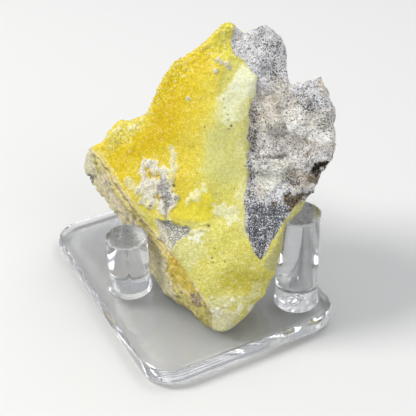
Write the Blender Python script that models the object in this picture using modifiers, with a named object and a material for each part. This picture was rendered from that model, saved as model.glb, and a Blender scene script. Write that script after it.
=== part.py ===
"""Brucite crust on its host rock, propped on a three-peg acrylic display stand."""
import math

import bmesh
import bpy
from mathutils import Matrix, Vector, geometry, noise

MM = 0.001
GAP = 0.3  # clearance between touching pieces, mm
CLEARANCE_DEPTH = 20.0
SHARPEST = 0.5  # an inset corner moves no further than the distance over this

# Stand, mm: X along the plate's long side, Y to the back, Z up, origin under the plate's middle
PLATE_LENGTH = 83.5
PLATE_DEPTH = 63.0
PLATE_THICKNESS = 6.1
PLATE_CORNER = 9.75
PLATE_EDGE_ROUND = 2.4
PEG_RADIUS = 6.35
PEG_EDGE_ROUND = 0.35
GLUE_HEIGHT = 1.9
GLUE_WIDTH = 0.5
FRONT_PEG_Y = -20.1
FRONT_PEG_HEIGHT = 19.0
BACK_PEG_X = 30.3
BACK_PEG_Y = 21.5
BACK_PEG_HEIGHT = 31.8
PEGS = (
    ("front_peg", 0.0, FRONT_PEG_Y, FRONT_PEG_HEIGHT),
    ("back_peg_right", BACK_PEG_X, BACK_PEG_Y, BACK_PEG_HEIGHT),
    ("back_peg_left", -BACK_PEG_X, BACK_PEG_Y, BACK_PEG_HEIGHT),
)
PEG_STEPS = 32
PLATE_CORNER_STEPS = 8

# Colours
ACRYLIC = (0.93, 0.95, 0.97)
BRUCITE_YELLOW = (0.85, 0.72, 0.12)
ROCK_GREY = (0.52, 0.5, 0.46)

# The specimen is drawn in its own frame, mm: across its crusted face, back into it, and up the face.
# The frame's origin is the bottom tip, which rests on the plate.
TIP = (33.0, -5.5, 6.4)
TURN = 32.0  # the face is turned to its right by this, degrees
LEAN = 25.0  # and leans back by this
MIDDLE = (-18.0, 46.0)  # the face's middle, across and up
EDGE_SLANT = (-0.35, -0.2)  # sides draw in across and up by this for each mm back
BACK_INSET = 0.28  # the back's rim is drawn in to the middle by this share
BACK_DEPTH = 32.0
BACK_TAPER = 0.4  # the block is thinner to its right, per mm across
BACK_LEAN = 0.12  # and to its top, per mm up
BACK_SLOPE = 0.3  # rise per run of the back above the tall pegs
WEDGE_RUN = 70.0
CRUST_SIDE_DEPTH = 7.5
ROCK_SIDE_DEPTH = 8.0
LOWER_SIDE_DEPTH = 5.5

# The broken lower left side: rim of the face (across, back, up), then the outer edge below it
BROKEN_SIDE = (
    ((-1.0, -0.5, -1.1), (-1.4, 3.4, 0.6)),
    ((-3.8, -0.5, -0.7), (-6.0, 3.3, 0.7)),
    ((-5.6, -1.2, 2.0), (-10.4, 2.9, 1.0)),
    ((-6.2, -3.0, 7.6), (-14.6, 3.0, 1.9)),
    ((-8.0, -3.5, 10.5), (-17.8, 3.6, 2.1)),
    ((-12.5, -3.5, 14.6), (-22.0, 4.9, 2.9)),
    ((-18.0, -3.0, 18.6), (-26.2, 6.4, 4.2)),
    ((-22.6, -1.5, 22.3), (-30.4, 8.2, 6.2)),
    ((-27.5, 0.0, 24.2), (-33.8, 9.4, 8.4)),
    ((-33.5, 0.8, 25.2), (-38.5, 10.4, 14.2)),
    ((-39.6, 0.0, 28.8), (-43.7, 10.0, 18.9)),
    ((-45.7, 0.0, 33.4), (-50.5, 10.3, 22.4)),
    ((-49.6, 0.2, 36.6), (-57.1, 11.0, 26.2)),
    ((-52.8, 0.4, 39.4), (-61.5, 12.0, 28.0)),
    ((-55.4, 0.8, 41.0), (-63.5, 11.0, 32.8)),
    ((-55.8, 1.0, 42.0), (-60.5, 7.0, 38.6)),
)
# The rest of the face's rim, clockwise: upper left, rock top, right side, then down to the tip
CRUST_RIM = (
    (-51.0, 1.0, 43.4),
    (-51.6, 1.0, 46.0),
    (-48.9, 1.0, 50.7),
    (-46.3, 1.0, 52.3),
    (-43.7, 1.0, 52.0),
    (-41.6, 1.0, 54.3),
    (-38.6, 1.0, 55.4),
    (-37.6, 1.0, 60.5),
    (-35.5, 1.0, 67.0),
    (-33.1, 1.0, 72.0),
    (-29.7, 1.0, 75.1),
    (-25.5, 1.0, 79.1),
    (-22.1, 1.0, 83.0),
    (-19.3, 1.0, 87.3),
    (-17.2, 1.4, 87.4),
    (-15.7, 2.0, 85.8),
    (-16.6, 3.0, 83.4),
)
ROCK_RIM = (
    (-15.2, 4.0, 84.8),
    (-12.0, 4.5, 86.6),
    (-7.7, 5.0, 89.6),
    (-3.3, 6.0, 84.8),
    (-0.8, 7.0, 82.5),
    (1.0, 7.0, 75.7),
    (2.4, 7.0, 74.5),
    (5.6, 7.5, 75.9),
    (10.0, 8.0, 79.8),
    (12.4, 8.5, 75.4),
    (15.5, 8.5, 71.3),
    (16.2, 8.5, 66.9),
    (17.8, 8.5, 64.2),
    (18.1, 8.0, 58.5),
    (16.8, 7.5, 54.5),
    (16.6, 6.5, 49.3),
    (14.9, 5.5, 45.1),
)
LOWER_RIGHT_RIM = (
    (14.6, 4.0, 43.4),
    (13.6, 1.5, 37.0),
    (12.3, 1.6, 32.9),
    (10.8, 1.6, 27.8),
    (10.9, 2.2, 20.8),
    (9.2, 3.0, 15.4),
    (7.1, 2.5, 11.0),
    (4.8, 2.0, 6.8),
    (2.8, 1.0, 3.6),
    (2.0, 0.4, 1.2),
)
# Points on the face that set its bends: the long soft ridge, the lower swelling and the rock's ledges
FACE_POINTS = (
    (-14.8, -0.6, 70.5),
    (-14.4, -1.2, 60.0),
    (-15.6, -1.0, 51.0),
    (-13.5, -0.8, 38.0),
    (-30.0, 0.4, 50.0),
    (-36.0, 0.6, 40.0),
    (-27.0, 0.4, 64.0),
    (-25.0, 0.2, 33.0),
    (-6.0, 1.6, 66.0),
    (-5.2, 1.6, 57.0),
    (-2.6, 1.4, 46.8),
    (-0.2, 0.2, 35.6),
    (-16.0, -0.4, 28.0),
    (-12.0, -2.6, 22.0),
    (-3.0, -2.6, 19.0),
    (2.0, -1.2, 12.0),
    (5.0, -0.3, 28.0),
    (7.5, 0.2, 37.0),
    (4.0, 1.8, 48.0),
    (9.0, 0.9, 41.5),
    (2.0, 4.4, 60.0),
    (10.0, 5.0, 61.5),
    (11.0, 5.4, 56.0),
    (4.0, 5.2, 68.0),
    (-7.0, 4.4, 80.0),
)
BACK_POINTS = (
    (-38.0, 31.0, 50.0),
    (-24.0, 29.0, 34.0),
    (-20.0, 27.0, 62.0),
    (-4.0, 19.0, 40.0),
    (2.0, 18.0, 62.0),
)
# Where the crust ends and bare rock shows, from the top down to the rock's lowest point
CRUST_END = (
    (-16.4, 96.0),
    (-16.4, 83.2),
    (-14.7, 79.4),
    (-11.8, 78.0),
    (-9.2, 76.2),
    (-6.9, 74.2),
    (-6.6, 71.5),
    (-6.6, 66.9),
    (-5.4, 57.3),
    (-2.7, 46.8),
    (-0.2, 35.6),
    (1.2, 31.2),
    (5.2, 26.1),
    (7.2, 24.3),
)
# The edge of the rock's tongue, up from that point; a thin crust shows beyond it
TONGUE_EDGE = (
    (8.2, 26.6),
    (9.9, 33.0),
    (12.2, 40.3),
    (14.0, 43.6),
    (28.0, 47.0),
    (28.0, 96.0),
)
TONGUE_DEPTH = 3.4
TONGUE_ROUGHNESS = 0.4  # the tongue is thin, so its relief is lower by this
TONGUE_TOP = 41.0
TONGUE_LEFT = -2.0
TONGUE_OVERLAP = 1.8  # the tongue's solid runs on into the rest of the rock's by this
# Section of the rock behind the crust, (back, up)
BEHIND_CRUST = ((10.5, 98.0), (10.5, 34.0), (17.0, 14.0), (60.0, 14.0), (60.0, 98.0))

# Small things on the face: middle (across, up), half sizes, height
FACE_FEATURES = (
    (-31.5, 38.5, 6.5, 8.0, 0.8),
    (-24.5, 38.5, 2.0, 6.5, 0.7),
    (-22.4, 34.9, 1.6, 1.6, 0.9),
    (-22.0, 25.6, 6.5, 2.6, -1.5),
    (-14.0, 29.6, 6.0, 2.0, 0.8),
    (-17.7, 76.4, 1.5, 1.5, 0.9),
    (-14.6, 75.6, 1.6, 1.8, 0.9),
    (-17.8, 73.4, 1.4, 1.4, 0.8),
    (-24.8, 64.1, 1.1, 1.1, 0.7),
)
EDGE_KNOB = Vector((-60.0, 10.5, 27.5))  # grey lump on the broken edge
KNOB_SIZE = 3.4
FULLNESS = 0.55  # the cage's rounded edges are let out by this
BLOCK_GRAIN = 1.25  # mesh size of the block while it is shaped
BLOCK_SHARE = 0.23  # of its triangles kept once it is shaped
CRUST_THICKNESS = 10.5
CRUST_WAVE = 0.7  # slow swells of the crust
CRUST_BUMP = 0.3
LAYER_PITCH = 4.2  # broken layers along the lower left side
LAYER_STEP = 0.7
ROCK_LUMP = 1.9
ROCK_CHIP = 1.5
ROCK_RECESS = 0.8  # bare rock lies below the crust's edge
THIN_BELOW = 46.0
SEED_SHIFT = Vector((31.7, 8.3, 64.1))


def new_collection(name):
    collection = bpy.data.collections.new(name)
    bpy.context.scene.collection.children.link(collection)
    return collection


def new_object(name, bm, collection):
    """Object from a bmesh drawn in mm."""
    bmesh.ops.recalc_face_normals(bm, faces=bm.faces)
    bmesh.ops.scale(bm, vec=(MM, MM, MM), verts=bm.verts)
    mesh = bpy.data.meshes.new(name)
    bm.to_mesh(mesh)
    bm.free()
    obj = bpy.data.objects.new(name, mesh)
    collection.objects.link(obj)
    return obj


def hide_helper(obj):
    obj.hide_render = True
    obj.display_type = "WIRE"


def evaluated_mesh(obj):
    graph = bpy.context.evaluated_depsgraph_get()
    return bpy.data.meshes.new_from_object(obj.evaluated_get(graph))


def apply_modifiers(obj):
    """Replaces the object's mesh with what its modifiers make of it."""
    bpy.context.view_layer.update()
    mesh = evaluated_mesh(obj)
    obj.modifiers.clear()
    obj.data = mesh


def boolean(obj, other, operation, solver="EXACT"):
    step = obj.modifiers.new(operation.lower(), "BOOLEAN")
    step.operation = operation
    step.solver = solver
    step.object = other


def paint(obj, color, roughness, alpha=1.0, transmission=0.0):
    """Gives the object a material of its own."""
    made = bpy.data.materials.new(obj.name)
    made.use_nodes = True
    shader = made.node_tree.nodes["Principled BSDF"]
    shader.inputs["Base Color"].default_value = (*color, 1.0)
    shader.inputs["Roughness"].default_value = roughness
    shader.inputs["Metallic"].default_value = 0.0
    shader.inputs["Alpha"].default_value = alpha
    shader.inputs["Transmission Weight"].default_value = transmission
    obj.data.materials.clear()
    obj.data.materials.append(made)


def plate_outline():
    """Rounded rectangle, counter-clockwise, mm."""
    along = PLATE_LENGTH / 2 - PLATE_CORNER
    across = PLATE_DEPTH / 2 - PLATE_CORNER
    points = []
    for quarter, (side_x, side_y) in enumerate(((1, 1), (-1, 1), (-1, -1), (1, -1))):
        for step in range(PLATE_CORNER_STEPS + 1):
            angle = math.radians(90 * (quarter + step / PLATE_CORNER_STEPS))
            x = side_x * along + PLATE_CORNER * math.cos(angle)
            y = side_y * across + PLATE_CORNER * math.sin(angle)
            points.append((x, y))
    return points


def base_plate(collection):
    """The outline extruded, with nearly half-round edges."""
    bm = bmesh.new()
    lower = bm.faces.new([bm.verts.new((x, y, 0.0)) for x, y in plate_outline()])
    raised = bmesh.ops.extrude_face_region(bm, geom=[lower])["geom"]
    upper = [part for part in raised if isinstance(part, bmesh.types.BMVert)]
    bmesh.ops.translate(bm, vec=(0.0, 0.0, PLATE_THICKNESS), verts=upper)
    plate = new_object("base_plate", bm, collection)
    bevel = plate.modifiers.new("edges", "BEVEL")
    bevel.width = PLATE_EDGE_ROUND * MM
    bevel.segments = 3
    bevel.limit_method = "ANGLE"
    bevel.angle_limit = math.radians(60)
    plate.data.shade_smooth()
    return plate


def peg(name, x, y, height, collection):
    """Turned rod with a flared ring of glue at its foot."""
    profile = (
        (0.0, height),
        (PEG_RADIUS - PEG_EDGE_ROUND, height),
        (PEG_RADIUS, height - PEG_EDGE_ROUND),
        (PEG_RADIUS, GLUE_HEIGHT),
        (PEG_RADIUS + 0.25 * GLUE_WIDTH, 0.5 * GLUE_HEIGHT),
        (PEG_RADIUS + GLUE_WIDTH, GAP),
        (0.0, GAP),
    )
    bm = bmesh.new()
    verts = [bm.verts.new((radius, 0.0, up)) for radius, up in profile]
    for start, end in zip(verts, verts[1:]):
        bm.edges.new((start, end))
    rod = new_object(name, bm, collection)
    rod.location = (x * MM, y * MM, PLATE_THICKNESS * MM)
    turn = rod.modifiers.new("turn", "SCREW")
    turn.steps = PEG_STEPS
    turn.render_steps = PEG_STEPS
    turn.use_merge_vertices = True
    turn.merge_threshold = 0.00001
    turn.use_smooth_shade = False
    return rod


def stand_on_face(obj):
    """Turns an object drawn in the specimen's frame to where it leans on the stand."""
    obj.location = Vector(TIP) * MM
    lean = Matrix.Rotation(math.radians(-LEAN), 3, "X")
    turn = Matrix.Rotation(math.radians(TURN), 3, "Z")
    obj.rotation_euler = (turn @ lean).to_euler()


def rim_rows():
    """Three matching points for each place round the block: face rim, widest edge, back rim."""
    rows = [(Vector(front), Vector(edge)) for front, edge in BROKEN_SIDE]
    depths = (CRUST_SIDE_DEPTH, ROCK_SIDE_DEPTH, LOWER_SIDE_DEPTH)
    for rim, depth in zip((CRUST_RIM, ROCK_RIM, LOWER_RIGHT_RIM), depths):
        slant = Vector((EDGE_SLANT[0], 1.0, EDGE_SLANT[1])) * depth
        rows += [(Vector(front), Vector(front) + slant) for front in rim]
    inset = []
    for front, edge in rows:
        across = edge.x + (MIDDLE[0] - edge.x) * BACK_INSET
        up = edge.z + (MIDDLE[1] - edge.z) * BACK_INSET
        depth = BACK_DEPTH - BACK_TAPER * (across + 36.0) - BACK_LEAN * (up - 50.0)
        inset.append((front, edge, Vector((across, max(depth, edge.y + 2.0), up))))
    return inset


def cap(bm, rim, inner):
    """Fills a rim with triangles through the inner points, as seen straight on."""
    flat = [Vector((vert.co.x, vert.co.z)) for vert in rim] + [Vector((p[0], p[2])) for p in inner]
    edges = [(i, (i + 1) % len(rim)) for i in range(len(rim))]
    faces, origins = geometry.delaunay_2d_cdt(flat, edges, [], 1, 1e-4)[2:4]
    verts = list(rim) + [bm.verts.new(place) for place in inner]
    for face in faces:
        bm.faces.new([verts[origins[corner][0]] for corner in face])


def block_cage(collection):
    """The whole specimen as a coarse loft between unlike rims."""
    bm = bmesh.new()
    rows = rim_rows()
    rings = [[bm.verts.new(row[ring]) for row in rows] for ring in range(3)]
    for near, far in zip(rings, rings[1:]):
        for i in range(len(near)):
            j = (i + 1) % len(near)
            bm.faces.new((near[i], near[j], far[j], far[i]))
    cap(bm, rings[0], FACE_POINTS)
    cap(bm, rings[2], BACK_POINTS)
    return new_object("block", bm, collection)


def inside(outline, across, up):
    """Whether a place on the face lies within an outline."""
    found = False
    for (x0, y0), (x1, y1) in zip(outline, outline[1:] + outline[:1]):
        if (y0 > up) != (y1 > up) and across < x0 + (up - y0) * (x1 - x0) / (y1 - y0):
            found = not found
    return found


def ridged(place, size):
    """Sharp-crested lumps, up to 1."""
    return 1 - 2 * abs(noise.noise(place / size + SEED_SHIFT))


def stepped(place, size):
    """Flat-topped chips: each Voronoi cell has its own height, -0.5 to 0.5."""
    middle = noise.voronoi(place / size + SEED_SHIFT)[1][0]
    return noise.cell(middle * 7.3) - 0.5


def dome(distance):
    """Smooth bump, 1 in the middle and 0 from a distance of 1."""
    return max(0.0, 1 - distance * distance) ** 2


def features(place):
    """Height of the small things on the face and the knob on its broken edge."""
    height = 1.6 * dome((place - EDGE_KNOB).length / KNOB_SIZE)
    for across, up, wide, tall, rise in FACE_FEATURES:
        height += rise * dome(math.hypot((place.x - across) / wide, (place.z - up) / tall))
    return height


def relief(place, normal):
    """Height added along the surface at a place of the block, mm."""
    return FULLNESS + ground(place, normal) + (features(place) if normal.y < 0 else 0.0)


def ground(place, normal):
    """Roughness of the rock, the broken layers or the crust."""
    if place.y > CRUST_THICKNESS or inside(CRUST_END + TONGUE_EDGE, place.x, place.z):
        recess = ROCK_RECESS if normal.y < -0.3 else 0.0
        height = ROCK_LUMP * (ridged(place, 11.0) - 0.5) + ROCK_CHIP * stepped(place, 4.5) - recess
        return height * (TONGUE_ROUGHNESS if place.x > 0 and place.z < THIN_BELOW else 1.0)
    if normal.y > -0.8:
        wander = 1.5 * noise.noise(place / 9.0)
        layer = 1.5 * math.sin(2 * math.pi * place.y / LAYER_PITCH + wander)
        return LAYER_STEP * max(-0.6, min(0.6, layer)) + 0.3 * stepped(place, 3.0)
    return CRUST_WAVE * noise.noise(place / 9.0 + SEED_SHIFT) + CRUST_BUMP * noise.noise(place / 2.6)


def raise_relief(obj):
    mesh = obj.data
    heights = [relief(vert.co / MM, vert.normal) for vert in mesh.vertices]
    normals = [vert.normal.copy() for vert in mesh.vertices]
    for vert, height, normal in zip(mesh.vertices, heights, normals):
        vert.co += normal * height * MM
    mesh.update()


def even_mesh(obj):
    """Rebuilds the object as one even closed mesh."""
    even = obj.modifiers.new("even", "REMESH")
    even.mode = "VOXEL"
    even.voxel_size = BLOCK_GRAIN * MM
    apply_modifiers(obj)


def prism(name, outline, start, end, across, collection):
    """Solid with a face outline run back into the block or, if across, a section run along it."""
    bm = bmesh.new()
    rings = []
    for depth in (start, end):
        places = [(depth, a, b) if across else (a, depth, b) for a, b in outline]
        rings.append([bm.verts.new(place) for place in places])
    bm.faces.new(rings[0])
    bm.faces.new(rings[1])
    for i in range(len(outline)):
        j = (i + 1) % len(outline)
        bm.faces.new((rings[0][i], rings[0][j], rings[1][j], rings[1][i]))
    obj = new_object(name, bm, collection)
    hide_helper(obj)
    return obj


def inset(outline, distance):
    """A closed outline with each side moved inwards."""
    corners = [Vector(place) for place in outline]
    around = zip(corners[-1:] + corners[:-1], corners, corners[1:] + corners[:1])
    turn = sum(before.x * here.y - here.x * before.y for before, here, _ in around)
    moved = []
    for i, here in enumerate(corners):
        before = (here - corners[i - 1]).normalized()
        after = (corners[(i + 1) % len(corners)] - here).normalized()
        along = (before + after).normalized()
        inward = Vector((-along.y, along.x)) * math.copysign(1.0, turn)
        moved.append(here + inward * distance / max(SHARPEST, along.dot(after)))
    return moved


def rock_region(name, margin, helpers):
    """Where the host rock lies: the bare right side, its tongue below, and all behind the crust."""
    split = [place for place in CRUST_END if place[1] > TONGUE_TOP]
    foot = (TONGUE_LEFT, TONGUE_TOP)
    bare = split + [foot, (TONGUE_EDGE[2][0], TONGUE_TOP)] + list(TONGUE_EDGE[3:])
    tip = [place for place in CRUST_END if place[1] < TONGUE_TOP]
    join = TONGUE_TOP + TONGUE_OVERLAP
    edge = list(TONGUE_EDGE[:3]) + [(TONGUE_EDGE[3][0] - 1.0, join)]
    tongue = [(TONGUE_LEFT + TONGUE_OVERLAP, join), foot] + tip + edge
    region = prism(name, inset(bare, margin), -14.0, 62.0, False, helpers)
    others = (
        prism(name + "_tongue", inset(tongue, margin), -15.0, TONGUE_DEPTH - margin, False, helpers),
        prism(name + "_behind", inset(BEHIND_CRUST, margin), -75.0, 31.0, True, helpers),
    )
    for other in others:
        boolean(region, other, "UNION", "MANIFOLD")
    stand_on_face(region)
    for other in others:
        stand_on_face(other)
    return region


def stand_clearance(helpers):
    """What the specimen keeps off: the plate and pegs grown by the gap."""
    bm = bmesh.new()
    deep = Matrix.Translation((0, 0, PLATE_THICKNESS + GAP - CLEARANCE_DEPTH / 2))
    wide = Matrix.Diagonal((2 * PLATE_LENGTH, 2 * PLATE_DEPTH, CLEARANCE_DEPTH, 1))
    bmesh.ops.create_cube(bm, size=1.0, matrix=deep @ wide)
    cutters = [new_object("plate_clearance", bm, helpers)]
    for name, x, y, height in PEGS:
        bm = bmesh.new()
        tall = height + GAP
        place = Matrix.Translation((x, y, PLATE_THICKNESS + tall / 2))
        reach = PEG_RADIUS + GAP
        bmesh.ops.create_cone(
            bm, cap_ends=True, segments=48, radius1=reach, radius2=reach, depth=tall, matrix=place
        )
        cutters.append(new_object(name + "_clearance", bm, helpers))
    for cutter in cutters:
        hide_helper(cutter)
    return cutters


def back_wedge(helpers):
    """Takes the back away so that it leans on the top rims of the tall pegs."""
    front = BACK_PEG_Y - PEG_RADIUS - GAP
    top = PLATE_THICKNESS + BACK_PEG_HEIGHT + GAP
    back = front + WEDGE_RUN
    section = ((front, -20.0), (front, top), (back, top + WEDGE_RUN * BACK_SLOPE), (back, -20.0))
    return prism("back_wedge", section, -90.0, 90.0, True, helpers)


def drop_crumbs(obj):
    """Keeps the largest connected piece of a cut mesh and removes the loose scraps."""
    bm = bmesh.new()
    bm.from_mesh(obj.data)
    left = set(bm.verts)
    pieces = []
    while left:
        front = [left.pop()]
        piece = set(front)
        while front:
            for edge in front.pop().link_edges:
                found = left.intersection(edge.verts)
                left -= found
                piece |= found
                front += found
        pieces.append(piece)
    largest = max(pieces, key=len)
    bmesh.ops.delete(bm, geom=[vert for vert in bm.verts if vert not in largest], context="VERTS")
    bm.to_mesh(obj.data)
    bm.free()


def piece_of(block, name, operation, region, collection):
    """What the block has outside or inside a region, as an object of its own."""
    piece = bpy.data.objects.new(name, block.data.copy())
    collection.objects.link(piece)
    stand_on_face(piece)
    boolean(piece, region, operation, "MANIFOLD")
    apply_modifiers(piece)
    drop_crumbs(piece)
    return piece


def specimen(collection, helpers):
    """Shapes the block, trims it to the stand, and parts it into the brucite and its host rock."""
    block = block_cage(helpers)
    stand_on_face(block)
    boolean(block, back_wedge(helpers), "DIFFERENCE")
    apply_modifiers(block)
    even_mesh(block)
    raise_relief(block)
    even_mesh(block)
    thin = block.modifiers.new("thin", "DECIMATE")
    thin.ratio = BLOCK_SHARE
    apply_modifiers(block)
    for cutter in stand_clearance(helpers):
        boolean(block, cutter, "DIFFERENCE")
    hide_helper(block)
    apply_modifiers(block)
    brucite = piece_of(block, "brucite", "DIFFERENCE", rock_region("rock_region", 0.0, helpers), collection)
    rock = piece_of(block, "host_rock", "INTERSECT", rock_region("rock_core", GAP, helpers), collection)
    return brucite, rock


def main():
    for obj in list(bpy.data.objects):
        bpy.data.objects.remove(obj)
    parts = new_collection("brucite_specimen")
    helpers = new_collection("cutters")
    acrylic = [base_plate(parts)]
    for name, x, y, height in PEGS:
        acrylic.append(peg(name, x, y, height, parts))
    for piece in acrylic:
        paint(piece, ACRYLIC, 0.05, alpha=0.35, transmission=1.0)
    brucite, rock = specimen(parts, helpers)
    paint(brucite, BRUCITE_YELLOW, 0.35)
    paint(rock, ROCK_GREY, 0.85)


main()
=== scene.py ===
import itertools
import math

import bmesh
import bpy
import numpy as np
from mathutils import Matrix, Quaternion, Vector


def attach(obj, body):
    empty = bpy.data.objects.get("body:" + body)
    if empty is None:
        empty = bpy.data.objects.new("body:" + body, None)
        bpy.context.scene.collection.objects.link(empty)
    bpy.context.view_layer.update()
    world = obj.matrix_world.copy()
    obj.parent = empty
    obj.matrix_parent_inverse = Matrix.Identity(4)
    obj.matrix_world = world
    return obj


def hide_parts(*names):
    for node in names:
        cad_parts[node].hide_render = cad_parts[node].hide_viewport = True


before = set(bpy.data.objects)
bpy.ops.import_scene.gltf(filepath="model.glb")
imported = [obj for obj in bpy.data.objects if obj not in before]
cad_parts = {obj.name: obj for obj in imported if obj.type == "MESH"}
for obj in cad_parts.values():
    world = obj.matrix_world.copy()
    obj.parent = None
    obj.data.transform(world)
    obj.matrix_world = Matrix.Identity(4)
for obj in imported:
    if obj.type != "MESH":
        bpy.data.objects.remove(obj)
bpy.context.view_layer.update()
mm = 0.001
print("frame loaded")


# ---- colours and small sums

def tone(red, green, blue):
    # a screen colour, 0 to 255, as light
    return np.array([(part / 255) ** 2.2 for part in (red, green, blue)])


def ramp(values, start, end):
    share = np.clip((values - start) / (end - start), 0, 1)
    return share * share * (3 - 2 * share)


def blend(first, second, share):
    return first + (second - first) * share[:, None]


def randomAt(cells, seed):
    # a fixed random number for each whole-numbered place
    mixed = cells[:, 0] * 374761393 + cells[:, 1] * 668265263 + cells[:, 2] * 1440662683 + seed * 974711
    mixed = (mixed ^ (mixed >> 13)) * 1274126177 & 0xFFFFFFFF
    return ((mixed ^ (mixed >> 16)) & 0xFFFF) / 65535


def softNoise(places, size, seed, octaves=1):
    # smooth noise, about -1 to 1
    total = np.zeros(len(places))
    for octave in range(octaves):
        scaled = places / size * 2 ** octave + 17.3 * seed
        base = np.floor(scaled).astype(np.int64)
        part = scaled - base
        part = part * part * (3 - 2 * part)
        value = np.zeros(len(places))
        for corner in itertools.product((0, 1), repeat=3):
            weight = np.prod(np.where(corner, part, 1 - part), axis=1)
            value += weight * randomAt(base + corner, seed + octave)
        total += (2 * value - 1) / 2 ** octave
    return total


def chips(places, size, seed):
    # for each place: how far it is from the nearest chip's edge, that chip's number, and its tilted face
    scaled = places / size
    base = np.floor(scaled).astype(np.int64)
    nearest = np.full(len(places), 9.0)
    second = np.full(len(places), 9.0)
    label = np.zeros(len(places))
    tilt = np.zeros(len(places))
    for step in itertools.product((-1, 0, 1), repeat=3):
        cell = base + step
        offset = scaled - cell - np.stack([randomAt(cell, seed + axis) for axis in range(3)], axis=1)
        lean = np.stack([randomAt(cell, seed + 7 + axis) for axis in range(3)], axis=1) - 0.5
        distance = np.linalg.norm(offset, axis=1)
        closer = distance < nearest
        second = np.where(closer, nearest, np.minimum(second, distance))
        label = np.where(closer, randomAt(cell, seed + 5), label)
        tilt = np.where(closer, 2 * np.sum(offset * lean, axis=1), tilt)
        nearest = np.where(closer, distance, nearest)
    return second - nearest, label, tilt


def lineDistance(places, line):
    # distance to a line drawn on the face, mm
    across, _, up = places.T
    nearest = np.full(len(places), 1e9)
    for (x0, y0), (x1, y1) in zip(line, line[1:]):
        runX, runY = x1 - x0, y1 - y0
        share = ((across - x0) * runX + (up - y0) * runY) / (runX * runX + runY * runY)
        share = np.clip(share, 0, 1)
        nearest = np.minimum(nearest, np.hypot(across - x0 - share * runX, up - y0 - share * runY))
    return nearest


def edgeDistance(places, outline):
    # signed distance to an outline drawn on the face, mm, negative inside
    across, _, up = places.T
    loop = outline + outline[:1]
    inside = np.zeros(len(places), bool)
    for (x0, y0), (x1, y1) in zip(loop, loop[1:]):
        if y0 != y1:
            crossing = (y0 > up) != (y1 > up)
            inside ^= crossing & (across < x0 + (up - y0) * (x1 - x0) / (y1 - y0))
    nearest = lineDistance(places, loop)
    return np.where(inside, -nearest, nearest)


# ---- mesh helpers

def newObject(name, data):
    made = bpy.data.objects.new(name, data)
    bpy.context.scene.collection.objects.link(made)
    return made


def meshObject(name, bm):
    mesh = bpy.data.meshes.new(name)
    bm.to_mesh(mesh)
    bm.free()
    return newObject(name, mesh)


def dress(piece, *materials):
    piece.data.materials.clear()
    for material in materials:
        piece.data.materials.append(material)


def settle(obj):
    # replaces the object's mesh with what its modifiers make of it
    graph = bpy.context.evaluated_depsgraph_get()
    mesh = bpy.data.meshes.new_from_object(obj.evaluated_get(graph))
    obj.modifiers.clear()
    obj.data = mesh


def cut(obj, other, operation):
    step = obj.modifiers.new("cut", "BOOLEAN")
    step.operation = operation
    step.solver = "MANIFOLD"
    step.object = other
    settle(obj)


def vectorsOf(values, name):
    flat = np.empty(len(values) * 3, np.float32)
    values.foreach_get(name, flat)
    return flat.reshape(-1, 3).astype(float)


def coordinates(mesh):
    return vectorsOf(mesh.vertices, "co")


def normalsOf(mesh):
    return vectorsOf(mesh.vertex_normals, "vector")


def moveTo(mesh, places):
    mesh.vertices.foreach_set("co", places.astype(np.float32).ravel())
    mesh.update()


def keepLargest(mesh):
    # removes the loose scraps that a remesh or a cut leaves
    bm = bmesh.new()
    bm.from_mesh(mesh)
    left = set(bm.verts)
    pieces = []
    while left:
        front = [left.pop()]
        piece = set(front)
        while front:
            here = front.pop()
            found = {edge.other_vert(here) for edge in here.link_edges} & left
            left -= found
            piece |= found
            front.extend(found)
        pieces.append(piece)
    largest = max(pieces, key=len)
    bmesh.ops.delete(bm, geom=[vert for vert in bm.verts if vert not in largest], context="VERTS")
    bm.to_mesh(mesh)
    bm.free()


def storeNumber(mesh, name, values):
    mesh.attributes.new(name, "FLOAT", "POINT").data.foreach_set("value", values.astype(np.float32))


def storeColour(mesh, name, colours):
    full = np.concatenate([colours, np.ones((len(colours), 1))], axis=1)
    mesh.attributes.new(name, "FLOAT_COLOR", "POINT").data.foreach_set("color", full.astype(np.float32).ravel())


# ---- node helpers

class Wire:
    # a socket that takes part in sums
    def __init__(self, graph, socket):
        self.graph = graph
        self.socket = socket

    def sum(self, operation, first, second, clamp=False):
        settings = {"operation": operation, "use_clamp": clamp}
        return self.graph.add("ShaderNodeMath", settings, {0: first, 1: second})

    def __add__(self, other):
        return self.sum("ADD", self, other)

    def __radd__(self, other):
        return self.sum("ADD", other, self)

    def __sub__(self, other):
        return self.sum("SUBTRACT", self, other)

    def __rsub__(self, other):
        return self.sum("SUBTRACT", other, self)

    def __mul__(self, other):
        return self.sum("MULTIPLY", self, other)

    def __rmul__(self, other):
        return self.sum("MULTIPLY", other, self)

    def above(self, level):
        return self.sum("GREATER_THAN", self, level)

    def below(self, level):
        return self.sum("LESS_THAN", self, level)

    def clamped(self):
        return self.sum("ADD", self, 0.0, clamp=True)

    def past(self, level, gain):
        # 0 up to a level, then rising to 1, the faster the larger the gain
        return ((self - level) * gain).clamped()


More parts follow.
